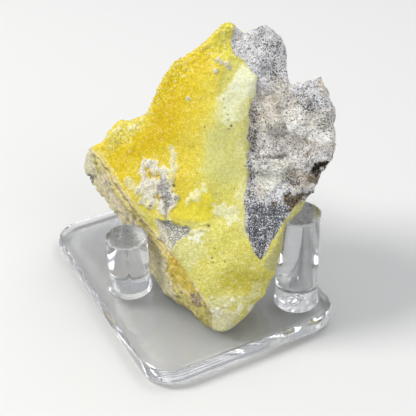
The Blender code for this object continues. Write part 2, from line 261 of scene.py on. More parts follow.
class Graph:
    def __init__(self, tree):
        self.tree = tree

    def add(self, kind, settings=None, values=None, output=0):
        node = self.tree.nodes.new(kind)
        for name, value in (settings or {}).items():
            setattr(node, name, value)
        for name, value in (values or {}).items():
            socket = node.inputs[name]
            if isinstance(value, Wire):
                self.tree.links.new(value.socket, socket)
            elif isinstance(value, tuple) and len(value) == 3 and socket.type == "RGBA":
                socket.default_value = (*value, 1.0)
            else:
                socket.default_value = value
        return Wire(self, node.outputs[output])

    def mix(self, share, first, second, kind="MIX"):
        settings = {"data_type": "RGBA", "blend_type": kind}
        return self.add("ShaderNodeMix", settings, {"Factor": share, 6: first, 7: second}, 2)

    def tinted(self, colour, tint):
        return self.mix(1.0, colour, tint, "MULTIPLY")

    def stored(self, name, output="Fac"):
        # a number or colour stored on the mesh
        return self.add("ShaderNodeAttribute", {"attribute_name": name}, None, output)

    def place(self):
        return self.add("ShaderNodeTexCoord", None, None, "Object")

    def stretched(self, place, scales):
        return self.add("ShaderNodeVectorMath", {"operation": "MULTIPLY"}, {0: place, 1: scales})

    def noise(self, place, scale, detail=2.0, roughness=0.5, output="Fac"):
        values = {"Vector": place, "Scale": scale, "Detail": detail, "Roughness": roughness}
        return self.add("ShaderNodeTexNoise", None, values, output)

    def cells(self, place, scale, output="Distance"):
        # small cells: how far each place is from its cell's centre, or the cell's colour
        return self.add("ShaderNodeTexVoronoi", None, {"Vector": place, "Scale": scale}, output)

    def chance(self, place, scale):
        # a random number for each cell
        return self.add("ShaderNodeSeparateColor", None, {"Color": self.cells(place, scale, "Color")}, "Red")

    def bump(self, height, strength, distance, normal=None):
        values = {"Height": height, "Strength": strength, "Distance": distance}
        if normal:
            values["Normal"] = normal
        return self.add("ShaderNodeBump", None, values, "Normal")


def newMaterial(name, fixed):
    # a principled material with its constant sockets set, and the graph that feeds the others
    made = bpy.data.materials.new(name)
    made.use_nodes = True
    shader = made.node_tree.nodes["Principled BSDF"]
    for socket, value in fixed.items():
        shader.inputs[socket].default_value = value
    return made, Graph(made.node_tree), shader


def feed(graph, shader, **wires):
    for name, wire in wires.items():
        graph.tree.links.new(wire.socket, shader.inputs[name.replace("_", " ")])


# ---- camera, light and floor

view = {
    "place": (237.16, -110.25, 212.05),  # mm
    "target": (-7.54, 11.38, 20.0),
    "roll": -1.82,
    "lens": 90.43,
    "sensor": 36.0,
    "nearest": 0.01,
}


def setCamera():
    data = bpy.data.cameras.new("camera")
    data.lens = view["lens"]
    data.sensor_width = view["sensor"]
    data.clip_start = view["nearest"]
    camera = newObject("camera", data)
    place, target = (Vector(view[key]) * mm for key in ("place", "target"))
    turn = (target - place).to_track_quat("-Z", "Y")
    camera.matrix_world = Matrix.Translation(place) @ (
        turn @ Quaternion((0, 0, 1), math.radians(view["roll"]))
    ).to_matrix().to_4x4()
    bpy.context.scene.camera = camera


studio = {
    # name: place in metres, size, watts, colour
    "keyPanel": ((-0.30, -0.52, 0.72), 0.42, 6.6, (1.0, 0.99, 0.96)),
    "fillPanel": ((0.7, 0.25, 0.55), 0.7, 1.9, (0.95, 0.97, 1.0)),
    "topPanel": ((-0.1, 0.45, 0.8), 0.6, 2.2, (1.0, 1.0, 1.0)),
    "aim": (0.0, 0.0, 0.04),
    "sky": (0.86, 0.88, 0.92),
    "skyStrength": 0.46,
    "floor": (0.72, 0.72, 0.71, 1.0),
    "floorHalf": 2.5,
    "floorHeight": -0.0002,
    "floorRoughness": 0.7,
    "bounces": 24,  # the clear stand needs many
}


def setStudio():
    for name in ("keyPanel", "fillPanel", "topPanel"):
        place, size, watts, colour = studio[name]
        data = bpy.data.lights.new(name, "AREA")
        data.shape = "DISK"
        data.size = size
        data.energy = watts
        data.color = colour
        lamp = newObject(name, data)
        lamp.location = place
        lamp.rotation_euler = (Vector(studio["aim"]) - Vector(place)).to_track_quat("-Z", "Y").to_euler()
    world = bpy.data.worlds.new("sky")
    world.use_nodes = True
    inputs = world.node_tree.nodes["Background"].inputs
    inputs["Color"].default_value = (*studio["sky"], 1.0)
    inputs["Strength"].default_value = studio["skyStrength"]
    scene = bpy.context.scene
    scene.world = world
    scene.view_settings.view_transform = "Standard"
    for kind in ("max", "transmission", "glossy"):
        setattr(scene.cycles, kind + "_bounces", studio["bounces"])
    bm = bmesh.new()
    bmesh.ops.create_grid(bm, x_segments=1, y_segments=1, size=studio["floorHalf"])
    floor = meshObject("floor", bm)
    floor.location.z = studio["floorHeight"]
    paint, _, _ = newMaterial("floorPaint", {"Base Color": studio["floor"], "Roughness": studio["floorRoughness"]})
    dress(floor, paint)


setCamera()
setStudio()
print("camera and studio set")


# ---- the specimen's own frame: across its crusted face, back into it, up the face, mm

stance = {"tip": (33.0, -5.5, 6.4), "turn": 32.0, "lean": 25.0}
stanceTurn = Matrix.Rotation(math.radians(stance["turn"]), 3, "Z") @ Matrix.Rotation(
    math.radians(-stance["lean"]), 3, "X"
)
stanceAxes = np.array(stanceTurn)


def toFace(places):
    return (places / mm - np.array(stance["tip"])) @ stanceAxes


def toWorld(places):
    return (places @ stanceAxes.T + np.array(stance["tip"])) * mm


# ---- shape of the stone

stone = {
    "merging": 0.001,  # points of the solids nearer than this are one, mm
    "grain": 0.42,  # mesh size, mm
    "closing": 0.2,  # the two solids are let out by this to close the gap between them
    "softening": 7,
    "rockCrisp": 0.85,
    "ridgeCrisp": 0.6,
    "crustDepth": 10.5,  # rock lies behind this
    "boundaryStep": 0.9,
    "boundaryWander": 0.22,
    "brokenBrightness": 1.22,
}
crustEnd = [
    (-17.6, 96), (-17, 83.2), (-16.3, 80.9), (-15.1, 78.9), (-12.6, 78.2), (-9.4, 76.2), (-6.9, 74.4), (-6.6, 71.5),
    (-6.6, 66.9), (-5.4, 57.3), (-2.7, 46.8), (-0.2, 35.6), (1.2, 31.2), (5.2, 26.1), (7.2, 24.3),
]
tongueEdge = [(8.2, 26.6), (9.9, 33.0), (12.2, 40.3), (14.0, 43.6), (28.0, 47.0), (28.0, 96.0)]
tongue = {"top": 41.0, "left": -2.0, "depth": 3.4, "overlap": 1.8}
behindCrust = [(10.5, 98.0), (10.5, 34.0), (17.0, 14.0), (60.0, 14.0), (60.0, 98.0)]
# the edge between the crusted face and the broken side, and the whole broken side
ridge = [
    (-57.4, 40.6), (-53.4, 40.2), (-50.7, 38.7), (-48.3, 37.1), (-45.4, 35.1), (-42.2, 32.5), (-38.2, 29.6),
    (-35.1, 26.6), (-32.3, 24.1), (-29.6, 22.6), (-27.1, 21.8), (-22.6, 20.4), (-18.6, 18.6), (-15.4, 16.4),
    (-11.9, 13.7), (-9.0, 11.7), (-6.6, 9.7), (-4.9, 7.6), (-3.5, 5.0), (-3.0, 0.0),
]
brokenSide = ridge + [
    (-8.0, -6.0), (-30.0, -3.0), (-50.0, 12.0), (-66.0, 26.0), (-67.0, 36.0), (-61.0, 42.0),
]

# areas of the crust: outline (across, up), screen colour, strength, softness, raggedness, height
crustAreas = {
    "upperEdge": ([
        (-23.9, 79.5), (-21.9, 83.6), (-18.8, 87.4), (-15.2, 86.1), (-15.5, 81.5), (-15.3, 77.9), (-20.2, 76.2),
    ], (226, 216, 84), 0.9, 4, 1.5, 0),
    "amber": ([
        (-51.4, 42.9), (-47.1, 47.4), (-41.9, 52.1), (-38.5, 56), (-37.5, 61.4), (-35.4, 69.4), (-29.1, 75.5),
        (-23.6, 79.5), (-20.3, 77.7), (-22.2, 71.4), (-23.5, 65.3), (-24.5, 57.6), (-25.9, 51.3), (-30.2, 47.1),
        (-34.6, 42.9), (-39.4, 40.1), (-40.9, 35), (-44, 32.6), (-47.9, 36.9),
    ], (221, 196, 12), 1, 6, 2.5, 0),
    "deepAmber": ([
        (-38, 50), (-35, 60), (-31, 66), (-27, 62), (-27.5, 54), (-33, 48.5), (-41, 43.5), (-44.5, 36), (-46.5, 38),
        (-43, 45),
    ], (217, 184, 4), 0.75, 5, 2.5, 0),
    "pale": ([
        (-13.8, 66.7), (-14.6, 63.1), (-16.4, 57), (-17, 51), (-16, 45.5), (-12, 42.6), (-7, 42.3), (-3.2, 43.7),
        (-3.4, 49.6), (-4.5, 53.7), (-5.6, 59.3), (-6.4, 64.9), (-7, 67.7),
    ], (214, 212, 128), 1, 5, 1.8, 0),
    "cream": ([
        (-12.2, 76.8), (-10.2, 76.7), (-7.2, 75.3), (-6.2, 73.5), (-6.5, 70.6), (-6.6, 67.7), (-6.4, 63), (-8.8, 60),
        (-11.8, 60), (-14.8, 63.8), (-14.3, 68.9), (-13.1, 71.4), (-12.4, 73.6), (-12.6, 75.6),
    ], (230, 232, 188), 1, 3, 1.5, 0.1),
    "creamTop": ([
        (-12.2, 76.8), (-10.2, 76.7), (-7.2, 75.1), (-6.4, 73.5), (-6.7, 69), (-9.5, 68), (-12, 70.5), (-12.4, 73.6),
    ], (240, 242, 208), 0.8, 2.4, 1.2, 0),
    # painted shade: this olive tone stands for a facet of the crust lying in shadow
    "shadedOlive": ([
        (-15.3, 78.1), (-13.8, 78.8), (-11.9, 78), (-11.6, 76.7), (-12.4, 74.5), (-13.1, 71.4), (-14.8, 68.2),
        (-15.8, 66.9), (-16.5, 68.4), (-15.9, 72), (-15.4, 75),
    ], (205, 199, 104), 0.85, 0.9, 0.5, -0.25),
    "apron": ([
        (-40.1, 34.6), (-37, 33.4), (-34.4, 31.5), (-31.4, 28.9), (-28.7, 27.4), (-25.1, 26.6), (-26.1, 31.4),
        (-29.4, 33.2), (-33.1, 34.1), (-36.4, 36.3), (-38.5, 36.3),
    ], (228, 216, 136), 0.75, 1.5, 2, 0),
    "facet": ([
        (-23.4, 32.4), (-21.1, 34.7), (-12.8, 39.6), (-9.5, 36.8), (-9.5, 33), (-11.6, 29.9), (-16.1, 29.4),
        (-21.8, 29),
    ], (226, 212, 62), 1, 2, 0.8, 0.35),
    "lowerPale": ([
        (-21.2, 23.4), (-19.1, 26.5), (-15.5, 28.8), (-11.4, 28.8), (-10.1, 26.2), (-10.5, 18.7), (-10.6, 13),
        (-14.7, 16.1), (-18.8, 19.2),
    ], (206, 203, 128), 1, 4, 2, 0.2),
    "lowerDeep": ([
        (-2.5, 19.8), (2, 20), (8.8, 21.6), (10.3, 17.8), (7, 12.5), (2.5, 12.2), (-1.4, 14.6),
    ], (196, 184, 60), 0.9, 4.5, 2, 0),
    "tip": ([(-7, 5.7), (-1.8, 8.1), (4.7, 9), (4.4, 2.5), (1.8, -2.5), (-4.4, -2)], (222, 218, 174), 1, 4, 2, 0),
    "frostRight": ([
        (-9, 35.4), (-4.5, 37.3), (0, 39.2), (0.6, 36.4), (-1, 33.6), (-5.4, 32.3), (-8.9, 33.1),
    ], (232, 231, 190), 0.8, 1.2, 2.6, 0.15),
    "frostEdge": ([(-4.8, 41.9), (-1.5, 43.4), (-0.1, 38.5), (-2.5, 37.8)], (236, 234, 184), 0.7, 1.2, 1.6, 0.1),
    "frostStreak": ([
        (-19.5, 36), (-16, 38.8), (-12.9, 41.2), (-13.1, 39.3), (-16.2, 36.3), (-19.2, 34.6),
    ], (238, 236, 184), 0.85, 0.8, 1.4, 0.2),
    "frostLow": ([
        (-6, 9.5), (-1, 11.5), (5.5, 14.5), (8, 17), (7, 12), (3.5, 8), (-3, 6.8),
    ], (232, 229, 176), 0.6, 1.5, 2.6, 0.1),
    "patch": ([
        (-37.4, 40.7), (-36.2, 42.8), (-35, 44.3), (-33.5, 43.8), (-31.9, 45.1), (-29.7, 43.2), (-27.6, 42.5),
        (-25, 41), (-23.9, 37.3), (-22.1, 35.4), (-22.5, 32.1), (-23.2, 29.5), (-24.9, 26.9), (-27.2, 27.5),
        (-30.1, 29.9), (-32, 28.4), (-34.3, 30.8), (-36.2, 34.5), (-37.6, 38.5),
    ], (242, 238, 218), 0.97, 0.6, 2, 0.55),
    "patchCore": ([
        (-30, 39.4), (-28.4, 40.4), (-26.2, 38.4), (-24.6, 35.8), (-24, 33), (-25.4, 29.6), (-27.9, 33),
        (-29.3, 35.8),
    ], (182, 178, 184), 0.9, 0.6, 2.2, -0.2),
    "patchWindowMiddle": ([
        (-32, 41.4), (-30.6, 41.8), (-29.7, 39.4), (-30.1, 37.6), (-31.2, 39),
    ], (228, 202, 60), 0.95, 0.5, 1.6, -0.45),
    "patchWindowLow": ([
        (-30.3, 33.8), (-28.6, 32.8), (-28.1, 30.5), (-29.3, 30.2),
    ], (214, 190, 70), 0.9, 0.5, 1.6, -0.4),
    "patchWindow": ([(-35.3, 40.2), (-33.7, 40.9), (-33, 39), (-34.2, 37.7)], (226, 200, 60), 0.95, 0.5, 1.6, -0.45),
    "streak": ([
        (-29.3, 47.9), (-26.8, 48.6), (-24.5, 43.3), (-24.4, 40.8), (-25.3, 38.5), (-26.7, 40.4), (-27.3, 44.9),
    ], (230, 224, 170), 0.9, 0.8, 2.2, 0.35),
    "recess": ([
        (-27.6, 26.2), (-25.1, 27), (-22.6, 26.6), (-19.6, 26.6), (-16.1, 27.4), (-13.9, 28.2), (-15.7, 25.9),
        (-18, 24), (-19, 21.7), (-19.5, 20.3), (-22.4, 22.4), (-25.1, 24),
    ], (164, 166, 158), 1, 0.5, 0.8, -0.9),
    "sliver": ([
        (12, 44), (15.5, 44), (14.6, 38), (12.4, 28), (11, 22), (8.4, 22.6), (9.6, 27), (10.6, 31),
    ], (184, 180, 122), 0.9, 1.5, 0.8, 0),
    "edgePale": ([
        (-9, 67.5), (-5, 67.5), (-3.6, 56), (-1, 46), (1.6, 36), (3.4, 29), (0.6, 28), (-2.4, 35), (-4.6, 46),
        (-7.4, 57),
    ], (222, 217, 150), 0.75, 2.4, 1.5, 0),
    "scribble": ([
        (-14.2, 27.9), (-11, 27.7), (-12, 25.6), (-10.5, 24.2), (-13.1, 24.7), (-14.5, 25.4),
    ], (240, 240, 214), 0.85, 0.9, 2.2, 0.15),
    "stripWhite": ([
        (-28.9, 26.6), (-26.6, 25.6), (-22.8, 22.8), (-19.1, 20.2), (-20.6, 19.4), (-26.3, 22.4),
    ], (206, 202, 186), 0.9, 0.8, 1.4, 0.15),
    "tipCrystals": ([
        (-5.2, 8.2), (-2.9, 8.2), (-0.1, 6.4), (-0.5, 4.3), (-3.2, 4.2), (-4.7, 6),
    ], (240, 238, 208), 0.7, 0.9, 3, 0.25),
    "tipCrystalsRight": ([(2.4, 9.2), (5.4, 10.6), (6, 7.9), (3.7, 7.2)], (242, 240, 214), 0.85, 0.8, 1.6, 0.25),
    "bandWhite": ([
        (-40.6, 34.9), (-37.9, 34.4), (-34.9, 32.3), (-32.3, 30.2), (-30.4, 27.9), (-31.5, 27.2), (-32.9, 29.3),
        (-35.2, 31.3), (-38.2, 33.4),
    ], (232, 226, 170), 0.8, 0.9, 2, 0.3),
    "recessArm": ([
        (-26.9, 33.4), (-25, 33.5), (-24.7, 29.8), (-24.6, 27.3), (-26, 26.9),
    ], (176, 172, 162), 0.9, 0.5, 0.6, -0.5),
    "shoulder": ([
        (-52, 44.4), (-51.4, 48), (-48.8, 51.6), (-45.5, 53), (-43.4, 55), (-38.8, 57), (-37.8, 52.9), (-39.5, 50),
        (-42.7, 48), (-46.6, 45.1), (-49.4, 42.2),
    ], (222, 210, 104), 0.6, 3, 2, 0),
    "shoulderWhite": ([
        (-49.4, 47.3), (-48.6, 49.8), (-46.8, 49.9), (-46.8, 47.9),
    ], (240, 234, 180), 0.8, 1.2, 1.2, 0.2),
    "shoulderSpot": ([
        (-44.3, 50.2), (-43.2, 52.1), (-41.4, 51.5), (-42.6, 49.9),
    ], (240, 234, 180), 0.8, 1.2, 1.2, 0.2),
}
# areas of the broken side: the same
brokenAreas = {
    "amberWindow": ([
        (-23, 14.1), (-20.5, 17.4), (-17.1, 17.8), (-13, 15.2), (-9.6, 11), (-9.6, 8.4), (-13.6, 8.1), (-18.5, 8.4),
        (-21.9, 10.6),
    ], (214, 190, 58), 0.95, 1, 1.2, -0.3),
    "amberTop": ([
        (-22, 15.4), (-20.5, 17.6), (-17.1, 17.9), (-14.6, 16.2), (-17.6, 14.6),
    ], (214, 172, 20), 0.8, 1.4, 1, 0),
    "lowYellow": ([
        (-22, 10.5), (-16.3, 9.2), (-12, 8.6), (-8, 9.6), (-4, 6), (-3, 0), (-9, -3), (-18, 4),
    ], (204, 190, 98), 0.85, 2, 1, 0),
    "beige": ([
        (-32.7, 11.9), (-28.5, 13.8), (-22.9, 10.8), (-18, 7.3), (-17, 5), (-22, 4), (-30, 5.5),
    ], (222, 214, 172), 0.9, 0.8, 1.4, 0.35),
    "brownSpot": ([
        (-11.8, 8.5), (-9.1, 9.1), (-6.6, 7.5), (-6.4, 6.2), (-8.7, 5.9), (-11.3, 6.6),
    ], (138, 116, 102), 0.9, 0.6, 1, 0.2),
    "oliveStripe": ([
        (-56.6, 38.6), (-54.4, 38.6), (-52.4, 35.6), (-51.6, 33.1), (-53.6, 32.8), (-55.8, 35.2),
    ], (172, 166, 62), 0.9, 0.7, 0.7, -0.4),
    "leftEnd": ([
        (-62, 41), (-57.2, 41), (-56.6, 38.6), (-56.4, 35.2), (-56.8, 30), (-60, 27), (-64, 32),
    ], (206, 200, 176), 0.85, 0.9, 1.2, 0.3),
    "leftHollow": ([
        (-60.3, 30.6), (-58.4, 31.2), (-57.4, 29.6), (-58.6, 28.2), (-60.1, 28.9),
    ], (92, 90, 84), 0.9, 0.5, 0.4, -0.9),
    "pinkBand": ([
        (-52, 36.6), (-49, 35.6), (-46.4, 32.2), (-45.6, 29.2), (-48.2, 28.4), (-50.6, 32.2),
    ], (196, 182, 166), 0.85, 0.8, 0.8, 0.1),
    "fibres": ([
        (-33.4, 20.6), (-28.6, 20.2), (-23, 18), (-21.8, 15), (-26.4, 13.4), (-31.6, 15.2),
    ], (198, 178, 120), 0.5, 1.2, 1, 0),
}
# layers of the broken side: distance out from the ridge, colour
brokenLayers = [
    (0.0, (208, 192, 140)), (0.3, (200, 184, 140)), (0.7, (132, 116, 100)), (0.95, (150, 134, 104)),
    (1.3, (216, 202, 112)), (2.1, (206, 192, 128)), (2.4, (158, 142, 112)), (2.7, (210, 196, 130)),
    (3.6, (214, 200, 104)), (4.1, (190, 176, 124)), (4.4, (126, 112, 98)), (4.8, (196, 184, 150)),
    (5.8, (206, 194, 158)), (6.2, (176, 164, 140)), (7.4, (206, 197, 168)), (9.0, (196, 186, 150)),
    (14.0, (190, 182, 140)),
]
# dark spots of the broken side: across, up, radius
brokenSpots = [
    (-23.4, 14.1, 0.5), (-21.7, 13, 0.6), (-22.9, 10.9, 0.5), (-20.4, 11.1, 0.4), (-20.8, 8.4, 0.5),
    (-17.9, 5.2, 0.5), (-46.4, 32.4, 0.6), (-47.2, 31.2, 0.45), (-57.2, 31.6, 0.5), (-30.6, 17.8, 0.4),
    (-26.4, 12.6, 0.4), (-15.6, 7.2, 0.45), (-34.6, 15.2, 0.4), (-40.2, 24, 0.4),
]
# ragged pale lines along small ledges, painted highlights on their lit lips: places, half width, height
ledgeLines = {
    "lowerRim": ([
        (-19.2, 19.6), (-18.9, 21.9), (-18, 23.7), (-16.1, 25.7), (-13.9, 27.3), (-11.6, 28.3), (-9.9, 28.4),
    ], 0.5, 0.4),
    "lipLine": ([(-13.8, 29), (-12.6, 29.4), (-10.6, 30.6)], 0.3, 0.3),
    "leftRidge": ([
        (-53, 40.8), (-50.3, 39.3), (-47.9, 37.7), (-45, 35.7), (-41.8, 33.1), (-37.8, 30.2), (-34.7, 27.2),
        (-31, 25),
    ], 0.45, 0.1),
}
# where the face sparkles most
sparkleEdge = [
    (-52.0, 43.0), (-46.0, 41.0), (-41.0, 46.0), (-37.6, 56.9), (-33.4, 60.3), (-30.0, 67.0), (-24.0, 73.7),
    (-18.1, 79.6), (-15.4, 85.0), (-18.4, 88.9), (-30.0, 78.0), (-42.0, 66.0), (-54.0, 52.0),
]
# lumps and pits of several colours: across, up, radius, height, colour
pebbles = [
    (-18.6, 76.7, 0.9, 0.75, (214, 210, 200)), (-17.3, 76.2, 0.8, 0.7, (206, 202, 194)),
    (-15.6, 76.2, 0.9, 0.75, (222, 219, 206)), (-14.8, 75.3, 0.8, 0.7, (208, 204, 196)),
    (-18.1, 73.6, 1, 0.75, (214, 210, 200)), (-25.2, 63.9, 0.85, 0.7, (232, 231, 224)),
    (-22.4, 34.9, 1.2, 0.7, (160, 158, 152)), (-23.9, 38.2, 0.6, 0.4, (110, 102, 84)),
    (-24.1, 36.2, 0.5, 0.35, (120, 112, 92)), (-10.4, 29.6, 0.6, -0.5, (120, 112, 96)),
    (-3.9, 49.2, 0.35, -0.2, (40, 36, 26)), (-17.8, 57.2, 0.4, 0.1, (150, 110, 60)),
    (-11, 61, 0.35, -0.1, (90, 80, 50)), (-11.6, 62.4, 0.3, -0.1, (84, 76, 50)),
    (-9.9, 59.6, 0.4, -0.1, (80, 60, 40)), (-10.3, 58.6, 0.3, -0.1, (110, 84, 50)),
    (-12.9, 64, 0.25, 0, (110, 110, 100)), (-13.8, 66.3, 0.25, 0, (110, 110, 100)),
    (-2.3, 21.4, 0.4, -0.15, (96, 88, 56)), (-3.4, 23.9, 0.3, -0.1, (110, 100, 66)),
    (-31.1, 29.8, 0.6, 0.2, (128, 122, 108)), (1, 23.2, 0.3, -0.1, (116, 104, 60)),
    (-8.6, 26, 0.3, -0.1, (60, 52, 30)), (-6.5, 24.2, 0.3, -0.1, (70, 62, 34)),
    (-6.6, 21.2, 0.4, -0.15, (50, 44, 26)), (-5.9, 20.1, 0.3, -0.1, (60, 52, 30)),
    (-6.5, 8.4, 0.7, 0.3, (240, 238, 214)), (-4, 9.8, 0.6, 0.3, (238, 236, 206)),
    (-1.9, 6.8, 0.9, 0.4, (244, 243, 224)), (0.2, 8.4, 0.7, 0.3, (240, 238, 212)),
    (2, 10.8, 0.8, 0.35, (242, 240, 216)), (-0.7, 5.6, 0.6, 0.3, (244, 243, 224)),
    (3.7, 12.1, 0.6, 0.3, (240, 238, 210)), (-3.4, 5.6, 0.5, 0.25, (240, 238, 214)),
]
# areas of the bare rock: the same as the crust's; crevices get rust stain and painted near-black shade, and dark ones
# have more dark grains
rockAreas = {
    # the rock's own white, brightened further as painted light where these ledges face up into the light
    "brightLedge": ([
        (0.5, 68.6), (7.7, 67.6), (14.8, 66.6), (18.7, 64.8), (19.6, 63), (13.9, 62.2), (6.4, 60.4), (3.7, 59.2),
        (1.2, 61.4),
    ], (226, 224, 214), 0.7, 3, 2.5, 0.4),
    "brightBand": ([
        (1.4, 61.4), (3.2, 64.2), (7.9, 64.6), (12.8, 64), (16.6, 63.1), (18.2, 61.3), (13.7, 60.4), (8.2, 60.4),
        (3.7, 60.2),
    ], (236, 236, 232), 0.9, 1.8, 1.5, 0.4),
    "tanLeft": ([
        (-8.2, 66.1), (-4.6, 67.5), (0.9, 67.1), (1.9, 62.7), (-3.1, 60.9), (-7.1, 61.1),
    ], (208, 197, 176), 0.5, 3.5, 3.5, 0.3),
    "tanTop": ([(-3.6, 74.1), (0.5, 75.6), (3.4, 74), (3.9, 70.4), (-0.5, 69.1)], (208, 197, 176), 0.5, 3.5, 3.5, 0),
    "tanPeak": ([(8.6, 78.5), (12.1, 79.5), (15.6, 76), (13.5, 73.4), (9.4, 74.8)], (202, 186, 164), 0.7, 2, 1.5, 0),
    "paleLump": ([
        (-2, 50.2), (5.6, 52.8), (9.1, 50.9), (7, 47.1), (4.3, 42.1), (-0.4, 45),
    ], (218, 218, 208), 0.9, 2, 1.8, 0.9),
    "brownSoft": ([(9.6, 56.8), (11.8, 57.3), (12.5, 56.1), (10.8, 55.3)], (150, 130, 112), 0.6, 1, 1, -0.3),
    "brownRight": ([
        (9, 50), (11.6, 52.4), (14, 52.4), (13.4, 49), (15, 47), (11, 45.6), (9.4, 47.4),
    ], (200, 184, 158), 0.6, 3, 2.5, 0),
    "crevice": ([
        (-2, 52.9), (-0.4, 53.4), (2.7, 53.9), (5.1, 54.7), (5.3, 53.4), (3.8, 52.6), (2.5, 52.3), (0.5, 52.1),
        (-0.7, 51.4), (-1.8, 51.6),
    ], None, 0.8, 0.8, 1, -1),
    "creviceRight": ([
        (16.6, 56.4), (18.4, 54.8), (15.8, 52.4), (14.4, 51), (12.6, 52.1), (13.7, 54.8),
    ], None, 1.5, 0.8, 1, -1.5),
    "creviceGold": ([
        (12.8, 52.6), (15.7, 53.4), (18, 52.6), (17.6, 48.6), (14.4, 47.8), (12.7, 50),
    ], None, 0.95, 1.4, 1.5, -0.4),
    "creviceLow": ([
        (8.6, 43.9), (10.2, 45.2), (12.1, 45.5), (13.7, 46.4), (16.4, 47.4), (16, 45.4), (13.8, 43.6), (12.8, 42.2),
        (12.1, 40.4), (11, 41), (10.1, 41.6), (8.4, 42.1),
    ], None, 1.1, 1.1, 1.2, -0.8),
    "creviceLowLeft": ([
        (4.4, 41.1), (6, 41.8), (7.7, 41.6), (7.8, 40.3), (6.1, 39.8), (4.8, 40),
    ], None, 0.9, 0.8, 0.8, -0.6),
    "darkKnob": ([(-9, 82), (-7, 87.5), (-3, 84), (0.5, 78), (0.5, 72), (-4, 74), (-7, 79)], None, 0.3, 4, 3, 0),
    "darkShoulder": ([
        (5.6, 73.4), (8.4, 74), (11.2, 70.8), (11.2, 67), (8.4, 67.4), (5.2, 69.9),
    ], None, 0.4, 2, 2, 0),
    "darkRight": ([(11.6, 66.7), (14.7, 68.4), (16.4, 64.8), (15.2, 63.4), (12.6, 64.1)], None, 0.5, 1.5, 1.5, 0),
    "darkCluster": ([
        (8.7, 48.4), (10.2, 49.1), (11.9, 48.6), (12.2, 47.2), (10.5, 46.5), (9, 47.1),
    ], None, 0.8, 1, 1, 0),
    # painted shade: more dark grains along the rock's edge, in the shadow of the crust
    "darkEdgeShade": ([
        (-7, 66.5), (-4.8, 66.5), (-2.5, 54), (0, 45), (1.5, 39), (-0.6, 38.5), (-2.6, 46), (-5.4, 57),
    ], None, 0.6, 2, 1.5, 0),
    # painted shade: more dark grains over the foot, which faces down out of the light
    "darkFootShade": ([
        (-1.6, 39.6), (5.6, 41), (13.1, 42.7), (10.9, 36.1), (8.7, 29), (7.4, 23.1), (0.6, 30.5),
    ], None, 0.95, 2.5, 1.5, 0),
}
# noise turned and stretched into ribs that slope down to the right: slope in degrees, size of a rib, mm
ribs = {"slope": 28.0, "size": (6.0, 2.4, 2.0)}
ribTurn = np.array(Matrix.Rotation(math.radians(ribs["slope"]), 3, "Y")) @ np.diag([1 / size for size in ribs["size"]])
# local pushes that sharpen the outline: centre, reach, push, all across, back, up
pulls = [
    ((9.4, 9.8, 75.8), 6.0, (0.3, 0.0, 1.8)), ((2.0, 7.5, 75.5), 3.2, (-0.4, 0.0, -2.0)),
    ((7.2, 9.0, 74.8), 3.0, (0.0, 0.0, 1.7)),
    ((-3.5, 8.0, 83.5), 4.5, (-0.9, 0.0, -0.4)), ((-8.8, 6.5, 87.8), 1.8, (0.0, 0.0, 0.9)),
    ((16.5, 10.0, 66.0), 7.0, (-0.5, 0.0, 0.0)), ((9.6, 3.0, 17.0), 6.0, (-1.4, 0.0, 0.2)),
    ((7.5, 3.0, 9.5), 5.5, (-1.2, 0.0, 0.3)), ((-15.6, 4.0, 84.7), 2.6, (0.2, 0.0, -2.0)),
    ((14.5, 8.5, 48.0), 4.5, (1.7, 0.0, -0.6)), ((-59.5, 4.0, 36.0), 6.0, (0.9, 0.0, 0.0)),
]


def brokenShare(places):
    ragged = 0.5 * softNoise(places, 2.5, 3)
    return ramp(edgeDistance(places, brokenSide) + 0.6 * ragged, 0.35, -0.25)


def rockShare(places):
    _, back, up = places.T
    bare = edgeDistance(places, crustEnd + tongueEdge) < 0
    shown = bare & ((up > tongue["top"]) | (back < tongue["depth"]))
    return (shown | (back > stone["crustDepth"])).astype(float)


def strayOf(places):
    # how far the edges of the areas stray at each place, before their raggedness
    return 0.8 * softNoise(places, 2.8, 11) + 0.7 * softNoise(places, 1.2, 12) + 0.4 * softNoise(places, 0.6, 13)


def areaShare(places, stray, outline, softness, ragged):
    return ramp(edgeDistance(places, outline) + ragged * stray, 0.5 * softness, -0.5 * softness)


def risesOf(places, stray, areas, softest):
    # share and height of each area that stands out or lies deeper
    for outline, _, _, softness, ragged, rise in areas.values():
        if rise:
            yield areaShare(places, stray, outline, max(softness, softest), ragged), rise


def lineShare(places, line, width):
    return ramp(lineDistance(places, line) + 0.5 * width * softNoise(places, 0.9, 14), width, 0.2 * width)


def pebbleShare(places, pebble):
    distance = np.hypot(places[:, 0] - pebble[0], places[:, 2] - pebble[1]) / pebble[2]
    return ramp(distance + 0.25 * softNoise(places, 0.6, 15), 1.0, 0.45)


def layerOf(places):
    # how far out from the ridge a place on the broken side is, following its thin layers
    return lineDistance(places, ridge) + 0.7 * softNoise(places, 7.0, 21) + 0.5 * softNoise(places, 2.2, 22, 2)


